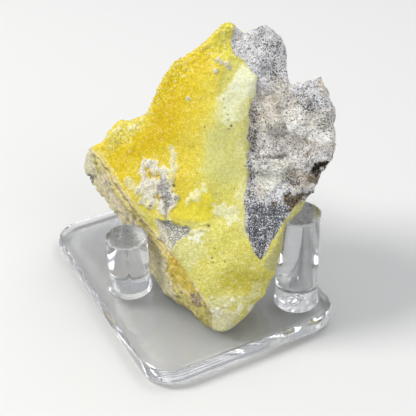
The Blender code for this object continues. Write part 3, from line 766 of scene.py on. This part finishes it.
def reliefOf(places, facing):
    # height added along the surface, mm
    front = ramp(-facing[:, 1], 0.2, 0.6)
    stray = strayOf(places)
    rock = rockShare(places)
    broken = brokenShare(places) * (1 - rock)
    crust = (1 - rock) * (1 - broken)
    height = crust * (
        0.3 * softNoise(places, 8.0, 31)
        + 0.12 * softNoise(places, 3.2, 32)
        + 0.09 * softNoise(places, 1.3, 33, 2)
    )
    # nodules of sugary crystals, larger where the crust turns away
    edge, _, _ = chips(places, 2.1, 36)
    side = ramp(-facing[:, 1], 0.8, 0.3)
    nodules = (0.3 + 0.5 * side) * ramp(edge, 0.0, 0.5) - 0.2 - 0.35 * side
    height += crust * areaShare(places, stray, sparkleEdge, 3.0, 1.0) * nodules
    edge, _, _ = chips(places, 0.95, 37)
    height += crust * (0.06 * ramp(edge, 0.0, 0.5) - 0.15)
    for share, rise in risesOf(places, stray, crustAreas, 0.8):
        uneven = 0.6 + 0.5 * softNoise(places, 1.1, 34) if rise > 0 else 1.0
        height += crust * front * share * rise * uneven
    for share, rise in risesOf(places, stray, brokenAreas, 0.8):
        height += broken * share * rise
    for line, width, rise in ledgeLines.values():
        height += (1 - rock) * front * lineShare(places, line, 1.4 * width) * rise
    lumps = 0.85 + 0.45 * softNoise(places, 0.7, 38)
    for pebble in pebbles:
        height += crust * front * pebbleShare(places, pebble) * pebble[3] * lumps
    # layers, chips and flakes of the broken side
    layers = layerOf(places)
    _, chip, tilt = chips(places, 2.6, 41)
    _, flake, flakeTilt = chips(places @ np.diag([0.5, 1.0, 1.0]), 1.1, 43)
    step = 0.2 * np.sin(2 * np.pi * layers / 1.7) + 0.1 * np.sin(2 * np.pi * layers / 0.75)
    height += broken * (step + 0.4 * (chip - 0.5) + 0.4 * tilt + 0.35 * (flake - 0.5) + 0.2 * flakeTilt)
    height += broken * 0.14 * softNoise(places, 0.9, 42)
    # chips, ribs and ledges of the bare rock
    _, chip, tilt = chips(places, 5.2, 51)
    _, chipSmall, tiltSmall = chips(places, 1.9, 52)
    thin = np.where((places[:, 2] < 44) & (places[:, 1] < 6), 0.4, 1.0)
    bare = -edgeDistance(places, crustEnd + tongueEdge)
    joined = ramp(bare, 0.5, 4.0) * front + 1 - front  # calm where it meets the crust
    ribs = (0.5 - 2.2 * np.abs(softNoise(places @ ribTurn, 1.0, 55, 2))) * ramp(places[:, 2], 72.0, 64.0)
    middle = 0.35 + 0.65 * ramp(np.abs(places[:, 2] - 56.0), 14.0, 8.0)  # the knob and the foot are flatter
    rough = joined * middle * (0.2 * softNoise(places, 7.0, 53, 2) + 0.4 * tilt + 0.15 * (chip - 0.5) + 0.25 * ribs)
    rough += (0.3 * tiltSmall + 0.2 * (chipSmall - 0.5)) * middle + 0.12 * softNoise(places, 0.9, 54) - 0.3
    rough -= 0.45 * ramp(np.abs(bare - 0.8), 0.9, 0.2) * front
    for share, rise in risesOf(places, stray, rockAreas, 1.0):
        rough += front * share * rise
    height += rock * thin * rough
    return height


def stoneBody():
    # both solids as one closed skin, rounded off and given its relief
    bm = bmesh.new()
    for node in ("brucite", "host_rock"):
        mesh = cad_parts[node].data.copy()
        bmPart = bmesh.new()
        bmPart.from_mesh(mesh)
        bmesh.ops.remove_doubles(bmPart, verts=bmPart.verts, dist=stone["merging"] * mm)
        bmPart.normal_update()
        for vert in bmPart.verts:
            vert.co += vert.normal * stone["closing"] * mm
        bmPart.to_mesh(mesh)
        bmPart.free()
        bm.from_mesh(mesh)
        bpy.data.meshes.remove(mesh)
    body = meshObject("stone", bm)
    even = body.modifiers.new("even", "REMESH")
    even.mode = "VOXEL"
    even.voxel_size = stone["grain"] * mm
    settle(body)
    keepLargest(body.data)
    places = coordinates(body.data)
    soften = body.modifiers.new("soften", "SMOOTH")
    soften.factor = 0.5
    soften.iterations = stone["softening"]
    settle(body)
    mesh = body.data
    # the rock and the ridge of the broken side keep sharper edges than the crust
    face = toFace(places)
    crisp = np.maximum(stone["rockCrisp"] * rockShare(face), stone["ridgeCrisp"] * lineShare(face, ridge, 3.0))
    face = toFace(blend(coordinates(mesh), places, crisp))
    for centre, reach, push in pulls:
        share = ramp(np.linalg.norm(face - centre, axis=1), reach, 0.0)
        face += share[:, None] * np.array(push)
    places = toWorld(face)
    moveTo(mesh, places)
    normals = normalsOf(mesh)
    height = reliefOf(face, normals @ stanceAxes)
    moveTo(mesh, places + normals * height[:, None] * mm)
    return body


def wandering(outline):
    # the outline with points along it that stray a little
    points = []
    for (x0, y0), (x1, y1) in zip(outline, outline[1:] + outline[:1]):
        count = max(1, int(math.hypot(x1 - x0, y1 - y0) / stone["boundaryStep"]))
        points += [(x0 + (x1 - x0) * i / count, y0 + (y1 - y0) * i / count) for i in range(count)]
    flat = np.array([(x, 0.0, y) for x, y in points])
    shift = np.stack([softNoise(flat, 2.0, seed, 2) for seed in (61, 63)], axis=1)
    return np.array(points) + stone["boundaryWander"] * shift


def prism(name, outline, start, end, across=False):
    # closed solid: a face outline run back into the stone or, if across, a section run along it
    bm = bmesh.new()
    rings = []
    for depth in (start, end):
        rows = [(depth, a, b) if across else (a, depth, b) for a, b in outline]
        rings.append([bm.verts.new(row) for row in toWorld(np.array(rows))])
    bm.faces.new(rings[0])
    bm.faces.new(rings[1])
    for i in range(len(outline)):
        j = (i + 1) % len(outline)
        bm.faces.new((rings[0][i], rings[0][j], rings[1][j], rings[1][i]))
    bmesh.ops.recalc_face_normals(bm, faces=bm.faces)
    return meshObject(name, bm)


def rockRegion():
    # what is rock and not crust; its solids start and end outside the stone, apart from the tongue's back
    top, left, overlap = tongue["top"], tongue["left"], tongue["overlap"]
    upper = [place for place in crustEnd if place[1] > top]
    lower = [place for place in crustEnd if place[1] < top]
    bare = upper + [(left, top), (tongueEdge[2][0], top)] + tongueEdge[3:]
    tip = [(left + overlap, top + overlap), (left, top)] + lower + tongueEdge[:3]
    tip.append((tongueEdge[3][0] - 1.0, top + overlap))
    region = prism("rockRegion", wandering(bare), -14.0, 62.0)
    for other in (
        prism("tongueRegion", wandering(tip), -15.0, tongue["depth"]),
        prism("behindRegion", wandering(behindCrust), -75.0, 31.0, across=True),
    ):
        cut(region, other, "UNION")
        bpy.data.objects.remove(other)
    return region


def splitStone():
    body = stoneBody()
    region = rockRegion()
    made = []
    for name, operation in (("crust", "DIFFERENCE"), ("matrixRock", "INTERSECT")):
        piece = newObject(name, body.data.copy())
        cut(piece, region, operation)
        keepLargest(piece.data)
        made.append(piece)
        print(name, len(piece.data.vertices), "points")
    bpy.data.objects.remove(body)
    bpy.data.objects.remove(region)
    return made


# ---- colours of the stone

def surfaceOf(mesh):
    # places and normals in the specimen's own frame
    return toFace(coordinates(mesh)), normalsOf(mesh) @ stanceAxes


def paintAreas(colours, places, stray, areas, front=1.0):
    for outline, colour, strength, softness, ragged, _ in areas.values():
        share = front * strength * areaShare(places, stray, outline, softness, ragged)
        colours = blend(colours, tone(*colour), share)
    return colours


def mostOf(places, stray, amounts):
    # the largest share that the named areas of the crust have at each place, each times its amount
    most = np.zeros(len(places))
    for name, amount in amounts.items():
        outline, _, _, softness, ragged, _ = crustAreas[name]
        most = np.maximum(most, amount * areaShare(places, stray, outline, softness, ragged))
    return most


calmAreas = {"facet": 1.0, "pale": 1.0, "cream": 1.0, "shadedOlive": 1.0, "recess": 1.0}
speckledAreas = {
    "patch": 0.75, "patchCore": 1.0, "recess": 1.0, "recessArm": 1.0, "streak": 0.6, "stripWhite": 0.9,
    "bandWhite": 0.5,
}


def paintCrust(mesh):
    places, facing = surfaceOf(mesh)
    front = ramp(0.8 * np.maximum(facing[:, 0], 0) - facing[:, 1], 0.1, 0.5)
    stray = strayOf(places)
    colours = np.tile(tone(224, 206, 66), (len(places), 1))
    colours = blend(colours, tone(216, 209, 104), ramp(places[:, 0] + 2.0 * stray, -22.0, -8.0))
    lower = ramp(places[:, 2], 33.0, 24.0)
    colours = blend(colours, tone(216, 208, 104), lower)
    drift = 0.5 + 0.5 * softNoise(places, 7.0, 71, 2)
    left = ramp(places[:, 0], -14.0, -24.0)
    colours = blend(colours, tone(226, 196, 48), 0.4 * np.clip(drift, 0, 1) * (1 - lower) * left)
    colours = paintAreas(colours, places, stray, crustAreas, front)
    # painted highlights: pale lines along the lit lips of the small ledges
    for line, width, _ in ledgeLines.values():
        colours = blend(colours, tone(232, 228, 182), 0.6 * front * lineShare(places, line, width))
    for pebble in pebbles:
        colours = blend(colours, tone(*pebble[4]), front * pebbleShare(places, pebble))
    # broken side: thin layers that run along its ridge
    stops = [out for out, _ in brokenLayers]
    tints = np.array([tone(*tint) for _, tint in brokenLayers])
    layers = layerOf(places)
    banded = np.stack([np.interp(layers, stops, tints[:, part]) for part in range(3)], axis=1)
    banded = paintAreas(stone["brokenBrightness"] * banded, places, stray, brokenAreas)
    for spot in brokenSpots:
        banded = blend(banded, tone(52, 46, 40), 0.9 * pebbleShare(places, spot))
    broken = brokenShare(places)
    colours = blend(colours, banded, broken)
    # unseen sides of the crust are plain and a little duller
    away = ramp(facing[:, 1], -0.1, 0.4) * (1 - broken)
    colours = blend(colours, tone(206, 190, 92), 0.7 * away)
    sugar = (1 - broken) * ramp(-facing[:, 1], -0.4, 0.3)
    calm = mostOf(places, stray, calmAreas)
    speckled = mostOf(places, stray, speckledAreas)
    for pebble in pebbles:
        if pebble[3] > 0.5:
            speckled = np.maximum(speckled, 0.8 * pebbleShare(places, pebble))
    speckled = np.maximum(speckled * front, 0.5 * broken)
    sparkle = areaShare(places, stray, sparkleEdge, 6.0, 2.5)
    grainy = sugar * (1 - 0.8 * calm) * (0.25 + 0.75 * sparkle) * ramp(places[:, 2], 25.0, 40.0)
    grainy *= np.clip(0.6 + 1.5 * softNoise(places, 5.0, 72, 2), 0.1, 1.5)
    storeColour(mesh, "hue", colours)
    storeNumber(mesh, "sugar", sugar * (1 - 0.75 * calm) * (0.35 + 0.65 * sparkle))
    storeNumber(mesh, "grainy", grainy)
    storeNumber(mesh, "speckled", speckled)
    storeNumber(mesh, "streaky", front * areaShare(places, stray, crustAreas["pale"][0], 6.0, 1.0))
    storeNumber(mesh, "wispy", front * (1 - broken) * ramp(places[:, 2], 30.0, 20.0))


def paintRock(mesh):
    places, facing = surfaceOf(mesh)
    front = ramp(-facing[:, 1], -0.3, 0.2)
    stray = strayOf(places)
    colours = np.tile(tone(218, 218, 220), (len(places), 1))
    drift = softNoise(places, 9.0, 81, 2)
    middle = ramp(np.abs(places[:, 2] - 57.0), 16.0, 8.0)
    colours = blend(colours, tone(220, 212, 196), np.clip(0.5 * drift + 0.5 * middle, 0, 1))
    dark = np.clip(0.3 - 0.5 * drift, 0, 1) * 0.15
    stainAndShade = np.zeros(len(places))
    for name, (outline, colour, strength, softness, ragged, _) in rockAreas.items():
        share = front * strength * areaShare(places, stray, outline, softness, ragged)
        if name.startswith("crevice"):
            stainAndShade = np.maximum(stainAndShade, share)
        # more dark grains; along the crust's edge and over the foot this is painted shade
        elif name.startswith("dark"):
            dark = np.maximum(dark, share)
        else:
            colours = blend(colours, tone(*colour), share)
            calm = share if name in ("brightBand", "paleLump") else 0.3 * share
            dark = dark * (1 - calm) - 0.8 * calm
    height = reliefOf(places, facing)
    storeColour(mesh, "hue", colours)
    storeNumber(mesh, "dark", dark)
    # crevices, and places where the relief lies deep, get rust stain and painted shade
    storeNumber(mesh, "stainAndShade", np.maximum(stainAndShade, 0.4 * ramp(-height, 0.6, 1.4)))
    storeNumber(mesh, "grainy", 0.35 + 0.65 * front)


# ---- materials of the stone

def faceCoordinates(graph):
    return graph.add("ShaderNodeMapping", {"vector_type": "TEXTURE"}, {
        "Vector": graph.place(),
        "Location": tuple(part * mm for part in stance["tip"]),
        "Rotation": tuple(stanceTurn.to_euler()),
        "Scale": (mm, mm, mm),
    })


crustLook = {
    "sugarSize": 2.3,  # grains per mm
    "frostAndGlint": (0.93, 0.92, 0.72),
    "speck": (0.06, 0.045, 0.03),
    "greying": (0.6, 0.58, 0.58),
    "dust": (0.82, 0.81, 0.74),
    "roughness": 0.36,
    "glow": 0.22,
}


def crustMaterial():
    made, graph, shader = newMaterial("sugaryBrucite", {
        "IOR": 1.57,
        "Subsurface Weight": crustLook["glow"],
        "Subsurface Radius": (1.0, 0.8, 0.25),
        "Subsurface Scale": 1.4 * mm,
        "Specular IOR Level": 0.3,
    })
    place = faceCoordinates(graph)
    hue = graph.stored("hue", "Color")
    sugar = graph.stored("sugar")
    speckled = graph.stored("speckled")
    chance = graph.chance(place, crustLook["sugarSize"])
    grainEdge = graph.cells(place, crustLook["sugarSize"])
    mottle = graph.noise(place, 3.4, 4.0, 0.7)
    light = graph.tinted(hue, (1.15, 1.16, 1.34))
    deep = graph.tinted(hue, (0.84, 0.81, 0.56))
    colour = graph.mix(((mottle - 0.5) * 2.3 + (chance - 0.5) * (0.55 + 0.9 * sugar) + 0.5).clamped(), deep, light)
    # small frosted grains in drifts, also standing in as painted sparkle; fine white specks that are painted glints;
    # and grains whose own tint makes them frost-white, as painted sparkle
    patches = graph.noise(place, 0.2, 3.0, 0.6)
    frostAndSparkle = (graph.chance(place, 1.6) + patches * 0.8).above(1.33) * graph.cells(place, 1.6).below(0.3) * sugar
    fineGlint = (chance + patches * 0.5).above(1.16) * sugar
    own = graph.stored("tint").above(0.6) * 0.8
    colour = graph.mix((frostAndSparkle * 0.7 + fineGlint * 0.45 + own).clamped(), colour, crustLook["frostAndGlint"])
    # fine lines up the pale part of the face, and pale wisps across its foot
    lines = graph.noise(graph.stretched(place, (1.0, 1.0, 0.14)), 2.4, 3.0, 0.6)
    colour = graph.mix(lines.past(0.54, 9.0) * graph.stored("streaky") * 0.3, colour, (0.8, 0.8, 0.5))
    wisps = graph.noise(graph.stretched(place, (0.45, 1.0, 1.7)), 0.9, 5.0, 0.72)
    colour = graph.mix(wisps.past(0.55, 9.0) * graph.stored("wispy") * 0.5, colour, crustLook["frostAndGlint"])
    # grey and brown-black grains where the face is dirty, and a few over all
    few = graph.chance(place, 1.5).above(0.997) * graph.cells(place, 1.5).below(0.3)
    dirt = graph.chance(place, 2.7)
    greyed = graph.tinted(colour, crustLook["greying"])
    colour = graph.mix(dirt.above(0.62) * (speckled * 1.8 - 0.8).clamped(), colour, greyed)
    colour = graph.mix(dirt.below(0.25) * speckled * 0.7, colour, crustLook["dust"])
    many = graph.noise(place, 3.4, 3.0, 0.65).past(0.56, 16.0) * (speckled * 1.3 - 0.25).clamped()
    colour = graph.mix((few * 0.8 + many * 0.85).clamped(), colour, crustLook["speck"])
    roughness = graph.noise(place, 2.0, 2.0) * 0.3 + crustLook["roughness"] - sugar * 0.1
    facets = graph.bump(graph.chance(place, 2.9) + grainEdge * 0.8, 0.55, 0.14 * mm)
    normal = graph.bump(graph.noise(place, 7.0, 3.0, 0.65), 0.25, 0.1 * mm, facets)
    feed(graph, shader, Base_Color=colour, Roughness=roughness, Normal=normal)
    return made


rockLook = {
    "black": (0.026, 0.029, 0.042),
    "slate": (0.10, 0.112, 0.145),
    "brown": (0.13, 0.075, 0.035),
    "gold": (0.42, 0.3, 0.13),
    "shadeBlack": (0.012, 0.01, 0.008),
    "tan": (0.6, 0.42, 0.24),
    "grains": 2.2,  # grains per mm
}


def rockMaterial():
    made, graph, shader = newMaterial("granularRock", {"IOR": 1.5})
    place = faceCoordinates(graph)
    hue = graph.stored("hue", "Color")
    dark = graph.stored("dark")
    stainAndShade = graph.stored("stainAndShade")
    tint = graph.stored("tint")
    shaken = graph.add("ShaderNodeVectorMath", {"operation": "MULTIPLY_ADD"}, {
        0: graph.noise(place, 1.4, output="Color"),
        1: (0.7, 0.7, 0.7),
        2: place,
    })
    chance = graph.chance(shaken, rockLook["grains"])
    fine = graph.noise(place, 3.0, 4.0, 0.72)
    clumps = graph.noise(place, 0.4, 2.0, 0.5)
    white = graph.tinted(hue, (1.42, 1.41, 1.39))
    grey = graph.tinted(hue, (0.64, 0.67, 0.74))
    share = (fine - 0.5) * 2.6 + (chance - 0.5) * 0.9 + (clumps - 0.5) * 0.4 + dark * 0.3 - 0.06 + tint * 0.4
    colour = graph.mix(share.clamped(), white, grey)
    warm = graph.noise(place, 2.6, 3.0, 0.7) + (graph.noise(place, 0.2, 1.0) - 0.5) * 0.4
    colour = graph.mix(warm.past(0.58, 18.0) * 0.55, colour, rockLook["tan"])
    # thin winding creases, wider than they are high; dark grains gathered along them paint shade into the creases
    fold = graph.noise(graph.stretched(place, (0.6, 1.0, 1.5)), 0.55, 4.0, 0.6) - 0.5
    crease = (fold * fold * 1400.0).clamped()
    pepper = graph.noise(shaken, 2.8, 2.0, 0.6) + (clumps - 0.5) * 0.12 + dark * 0.16 + tint * 0.04
    pepper = pepper + (1.0 - crease) * 0.045
    peppery = graph.mix(((fine - 0.5) * 6.0 + 0.5).clamped(), rockLook["black"], rockLook["slate"])
    colour = graph.mix(pepper.past(0.58, 30.0) * 0.95, colour, peppery)
    rust = graph.noise(shaken, 1.5, 4.0, 0.7) + stainAndShade * 0.36
    rusty = graph.mix(chance, rockLook["brown"], rockLook["gold"])
    colour = graph.mix(rust.past(0.72, 8.0) * 0.85, colour, rusty)
    # near-black painted shade in the crevices and deep hollows, with a few black blotches elsewhere
    shadeBlack = graph.noise(place, 2.0, 4.0, 0.75) + stainAndShade * 0.25
    colour = graph.mix(shadeBlack.past(0.74, 16.0) * 0.95, colour, rockLook["shadeBlack"])
    height = graph.cells(shaken, rockLook["grains"])
    crags = graph.bump(graph.noise(place, 1.5, 5.0, 0.7) * 0.7 + crease * 0.5, 0.7, 0.45 * mm)
    grains = graph.bump(height * 0.7 + fine * 1.4, 0.7, 0.25 * mm, crags)
    feed(graph, shader, Base_Color=colour, Roughness=0.92 - chance * 0.25, Normal=grains)
    return made


# ---- small grains standing on the surface

def randomValue(graph, kind, low, high, seed):
    # low and high are inputs 2 and 3 for single numbers, 0 and 1 for triples
    first, output = (2, 1) if kind == "FLOAT" else (0, 0)
    values = {first: low, first + 1: high, 8: seed}
    return graph.add("FunctionNodeRandomValue", {"data_type": kind}, values, output)


# a grain is a cube of this side, stretched by between thinnest and longest, and turned by up to turn
grainShape = {"cube": 1.5, "thinnest": 0.6, "longest": 1.25, "turn": 6.28}
crustGrains = {"Density": 3.8e6, "Smallest": 0.00007, "Largest": 0.00021, "Seed": 5}
rockGrains = {"Density": 1.9e6, "Smallest": 0.0001, "Largest": 0.00028, "Seed": 9}


def grainTree():
    # scatters small faceted grains over a surface, each with a tint of its own
    tree = bpy.data.node_groups.new("grainScatter", "GeometryNodeTree")
    sockets = (("Geometry", "Geometry"), ("Density", "Float"), ("Smallest", "Float"), ("Largest", "Float"),
               ("Seed", "Int"), ("Material", "Material"))
    for label, kind in sockets:
        tree.interface.new_socket(label, in_out="INPUT", socket_type="NodeSocket" + kind)
    tree.interface.new_socket("Geometry", in_out="OUTPUT", socket_type="NodeSocketGeometry")
    graph = Graph(tree)
    given = tree.nodes.new("NodeGroupInput")
    entry = {socket.name: Wire(graph, socket) for socket in given.outputs if socket.name}
    grainy = graph.add("GeometryNodeInputNamedAttribute", {"data_type": "FLOAT"}, {"Name": "grainy"}, "Attribute")
    points = graph.add("GeometryNodeDistributePointsOnFaces", None, {
        "Mesh": entry["Geometry"],
        "Density": entry["Density"] * grainy,
        "Seed": entry["Seed"],
    }, "Points")
    chance = randomValue(graph, "FLOAT", 0.0, 1.0, 11)
    size = entry["Smallest"] + (entry["Largest"] - entry["Smallest"]) * chance * chance
    low, high, turn = ((grainShape[key],) * 3 for key in ("thinnest", "longest", "turn"))
    stretch = randomValue(graph, "FLOAT_VECTOR", low, high, 12)
    placed = graph.add("GeometryNodeInstanceOnPoints", None, {
        "Points": points,
        "Instance": graph.add("GeometryNodeMeshCube", None, {"Size": (grainShape["cube"],) * 3}, "Mesh"),
        "Rotation": randomValue(graph, "FLOAT_VECTOR", (0.0, 0.0, 0.0), turn, 13),
        "Scale": graph.add("ShaderNodeVectorMath", {"operation": "SCALE"}, {0: stretch, "Scale": size}),
    })
    tinted = graph.add("GeometryNodeStoreNamedAttribute", {"data_type": "FLOAT", "domain": "INSTANCE"}, {
        "Geometry": placed,
        "Name": "tint",
        "Value": randomValue(graph, "FLOAT", -1.0, 1.0, 14),
    })
    real = graph.add("GeometryNodeRealizeInstances", None, {"Geometry": tinted})
    dressed = graph.add("GeometryNodeSetMaterial", None, {"Geometry": real, "Material": entry["Material"]})
    end = tree.nodes.new("NodeGroupOutput")
    tree.links.new(dressed.socket, end.inputs["Geometry"])
    return tree


def scatter(name, carrier, tree, inputs):
    inputs = {**inputs, "Material": carrier.data.materials[0]}
    piece = newObject(name, carrier.data)
    step = piece.modifiers.new("grains", "NODES")
    step.node_group = tree
    for item in tree.interface.items_tree:
        if item.in_out == "INPUT" and item.name in inputs:
            step[item.identifier] = inputs[item.name]
    settle(piece)
    print(name, len(piece.data.polygons), "faces")
    return piece


def finishPiece(piece, node, roundest=math.inf):
    # faces with more corners than roundest are shaded flat
    for polygon in piece.data.polygons:
        polygon.use_smooth = len(polygon.vertices) <= roundest
    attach(piece, "root")
    if node:
        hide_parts(*node)


tree = grainTree()
crust, rock = splitStone()
paintCrust(crust.data)
paintRock(rock.data)
dress(crust, crustMaterial())
dress(rock, rockMaterial())
print("stone painted")
crustSparkle = scatter("crustGrains", crust, tree, crustGrains)
rockSparkle = scatter("rockGrains", rock, tree, rockGrains)
finishPiece(crust, ("brucite",))
finishPiece(rock, ("host_rock",))
finishPiece(crustSparkle, None, roundest=0)
finishPiece(rockSparkle, None, roundest=0)


# ---- the acrylic stand

stand = {
    "length": 83.5,
    "depth": 63.0,
    "thickness": 6.1,
    "corner": 9.75,
    "edge": 2.4,
    "cornerSteps": 14,
    "edgeSteps": 8,
    "ior": 1.49,
    "tint": (0.985, 0.99, 1.0, 1.0),
    "rimTint": (0.97, 0.98, 1.0, 1.0),
}
pegs = {
    # node: piece, centre, height
    "front_peg": ("frontPeg", (0.0, -20.1), 19.0),
    "back_peg_right": ("backPegRight", (30.3, 21.5), 31.8),
    "back_peg_left": ("backPegLeft", (-30.3, 21.5), 31.8),
}
nicks = {
    # node: middle and half width in degrees, outward and upward push of the rim, mm
    "back_peg_right": [(78.0, 34.0, 0.75, -0.5)],
    "front_peg": [(338.0, 9.0, -0.5, -0.35), (215.0, 7.0, -0.4, -0.3)],
}
bubble = {
    "node": "back_peg_right",
    "place": (0.6, -1.4, 1.9),
    "facing": (0.65, -0.41, 0.64),
    "radius": 1.6,
    "thickness": 0.5,
    "steps": 40,
    "sides": 10,
}
peg = {
    "radius": 6.35,
    "flare": 0.5,
    "flareHeight": 1.9,
    "rim": 0.35,
    "sink": 0.1,
    "steps": 96,
    "rimRings": 2,  # rings of the rim that carry the nicks
    "capDepth": 2.0,  # end faces less than this below the top are sawn
}
stoneGap = 0.06  # the stone stays this far from the stand, mm


def clearOfStand(piece):
    # nudges the stone up off the plate and sideways out of the pegs
    places = coordinates(piece.data) / mm
    places[:, 2] = np.maximum(places[:, 2], stand["thickness"] + stoneGap)
    reach = peg["radius"] + stoneGap
    for _, centre, height in pegs.values():
        away = places[:, :2] - centre
        distance = np.linalg.norm(away, axis=1)
        inside = (distance < reach) & (places[:, 2] < stand["thickness"] + height + stoneGap)
        places[inside, :2] = centre + away[inside] * (reach / distance[inside])[:, None]
    moveTo(piece.data, places * mm)


for piece in (crust, rock, rockSparkle):
    clearOfStand(piece)


def acrylicMaterial(name, sawn):
    made, graph, shader = newMaterial(name, {
        "Base Color": stand["tint"],
        "Transmission Weight": 1.0,
        "IOR": stand["ior"],
    })
    place = graph.place()
    if sawn:
        rings = graph.add("ShaderNodeTexWave", {"wave_type": "BANDS"}, {
            "Vector": place, "Scale": 260.0, "Distortion": 4.0, "Detail": 2.0, "Detail Scale": 0.6,
        }, "Fac")
        grit = graph.noise(place, 1600.0, 3.0)
        clouds = graph.noise(place, 260.0, 3.0, 0.6)
        normal = graph.bump(rings * 0.8 + grit, 0.6, 0.05 * mm)
        roughness = grit * 0.25 + (clouds - 0.4).clamped() * 0.9 + 0.08
    else:
        dust = graph.noise(place, 420.0, 4.0, 0.65)
        scratch = graph.noise(graph.stretched(place, (260.0, 3200.0, 900.0)), 1.0, 1.0)
        normal = graph.bump(graph.noise(place, 60.0, 1.0), 0.08, 0.2 * mm)
        roughness = ((dust - 0.55).clamped() * 0.5 + (scratch - 0.66).clamped() * 0.5).clamped() + 0.015
    feed(graph, shader, Roughness=roughness, Normal=normal)
    return made


def skin(name, rings, looped=False):
    # closed skin over rings of points, with end faces, or with the last ring joined to the first
    bm = bmesh.new()
    rows = [[bm.verts.new(place) for place in ring] for ring in rings]
    for lower, upper in zip(rows, rows[1:] + rows[:looped]):
        for i in range(len(lower)):
            j = (i + 1) % len(lower)
            bm.faces.new((lower[i], lower[j], upper[j], upper[i]))
    if not looped:
        bm.faces.new(rows[0][::-1])
        bm.faces.new(rows[-1])
    bmesh.ops.recalc_face_normals(bm, faces=bm.faces)
    return meshObject(name, bm)


def plateRing(inset, height):
    points = []
    radius = stand["corner"] - inset
    halfX = stand["length"] / 2 - stand["corner"]
    halfY = stand["depth"] / 2 - stand["corner"]
    for quarter, (signX, signY) in enumerate(((1, 1), (-1, 1), (-1, -1), (1, -1))):
        for step in range(stand["cornerSteps"] + 1):
            angle = math.pi / 2 * (quarter + step / stand["cornerSteps"])
            x, y = signX * halfX + radius * math.cos(angle), signY * halfY + radius * math.sin(angle)
            points.append((x * mm, y * mm, height * mm))
    return points


def makePlate():
    edge = stand["edge"]
    profile = []
    for step in range(stand["edgeSteps"] + 1):
        angle = math.pi / 2 * step / stand["edgeSteps"]
        profile.append((edge - edge * math.sin(angle), edge - edge * math.cos(angle)))
    profile += [(inset, stand["thickness"] - height) for inset, height in reversed(profile)]
    return skin("basePlate", [plateRing(inset, height) for inset, height in profile])


def makePeg(node):
    name, (x, y), height = pegs[node]
    base, radius, flare, rim = stand["thickness"], peg["radius"], peg["flare"], peg["rim"]
    profile = [
        (radius + flare, base - peg["sink"]),
        (radius + flare, base + peg["sink"]),
        (radius + 0.6 * flare, base + 0.35 * peg["flareHeight"]),
        (radius + 0.15 * flare, base + 0.7 * peg["flareHeight"]),
        (radius, base + peg["flareHeight"]),
        (radius, base + height - rim),
        (radius - 0.3 * rim, base + height - 0.3 * rim),
        (radius - rim, base + height),
    ]
    rings = []
    for level, (ringRadius, z) in enumerate(profile):
        nicked = nicks.get(node, ()) if level >= len(profile) - peg["rimRings"] else ()
        ring = []
        for step in range(peg["steps"]):
            angle = 360.0 * step / peg["steps"]
            out = up = 0.0
            for middle, half, outward, upward in nicked:
                apart = abs((angle - middle + 180.0) % 360.0 - 180.0)
                share = max(0.0, 1.0 - apart / half) ** 0.6 * (0.6 + 0.4 * math.sin(1.9 * step))
                out, up = out + outward * share, up + upward * share
            turn = math.radians(angle)
            reach = ringRadius + out
            ring.append(((x + reach * math.cos(turn)) * mm, (y + reach * math.sin(turn)) * mm, (z + up) * mm))
        rings.append(ring)
    return skin(name, rings)


def makeBubble():
    # a closed ring, left where air stayed in the glue
    _, (x, y), _ = pegs[bubble["node"]]
    centre = Vector((x, y, stand["thickness"])) + Vector(bubble["place"])
    facing = Vector(bubble["facing"]).to_track_quat("Z", "Y")
    rings = []
    for i in range(bubble["steps"]):
        turn = 2 * math.pi * i / bubble["steps"]
        thick = bubble["thickness"] * (1 + 0.25 * math.sin(turn) + 0.15 * math.sin(3 * turn))
        ring = []
        for j in range(bubble["sides"]):
            lean = 2 * math.pi * j / bubble["sides"]
            reach = bubble["radius"] + thick * math.cos(lean)
            flat = Vector((reach * math.cos(turn), reach * math.sin(turn), thick * math.sin(lean)))
            ring.append((centre + facing @ flat) * mm)
        rings.append(ring)
    return skin("glueBubble", rings, looped=True)


clear = acrylicMaterial("clearAcrylic", False)
frostedRim, _, _ = newMaterial("frostedRim", {
    "Base Color": stand["rimTint"], "Transmission Weight": 0.75, "Roughness": 0.5, "IOR": stand["ior"],
})
sawn = acrylicMaterial("sawnAcrylic", True)
plate = makePlate()
dress(plate, clear)
finishPiece(plate, ("base_plate",), roundest=4)
for node in pegs:
    piece = makePeg(node)
    dress(piece, clear, sawn, frostedRim)
    finishPiece(piece, (node,), roundest=4)
    top = (stand["thickness"] + pegs[node][2]) * mm
    for polygon in piece.data.polygons:
        if polygon.center.z > top - peg["capDepth"] * mm and len(polygon.vertices) > 4:
            polygon.material_index = 1
        elif polygon.center.z > top - 1.2 * peg["rim"] * mm:
            polygon.material_index = 2
ring = makeBubble()
dress(ring, clear)
finishPiece(ring, None)
print("stand made")
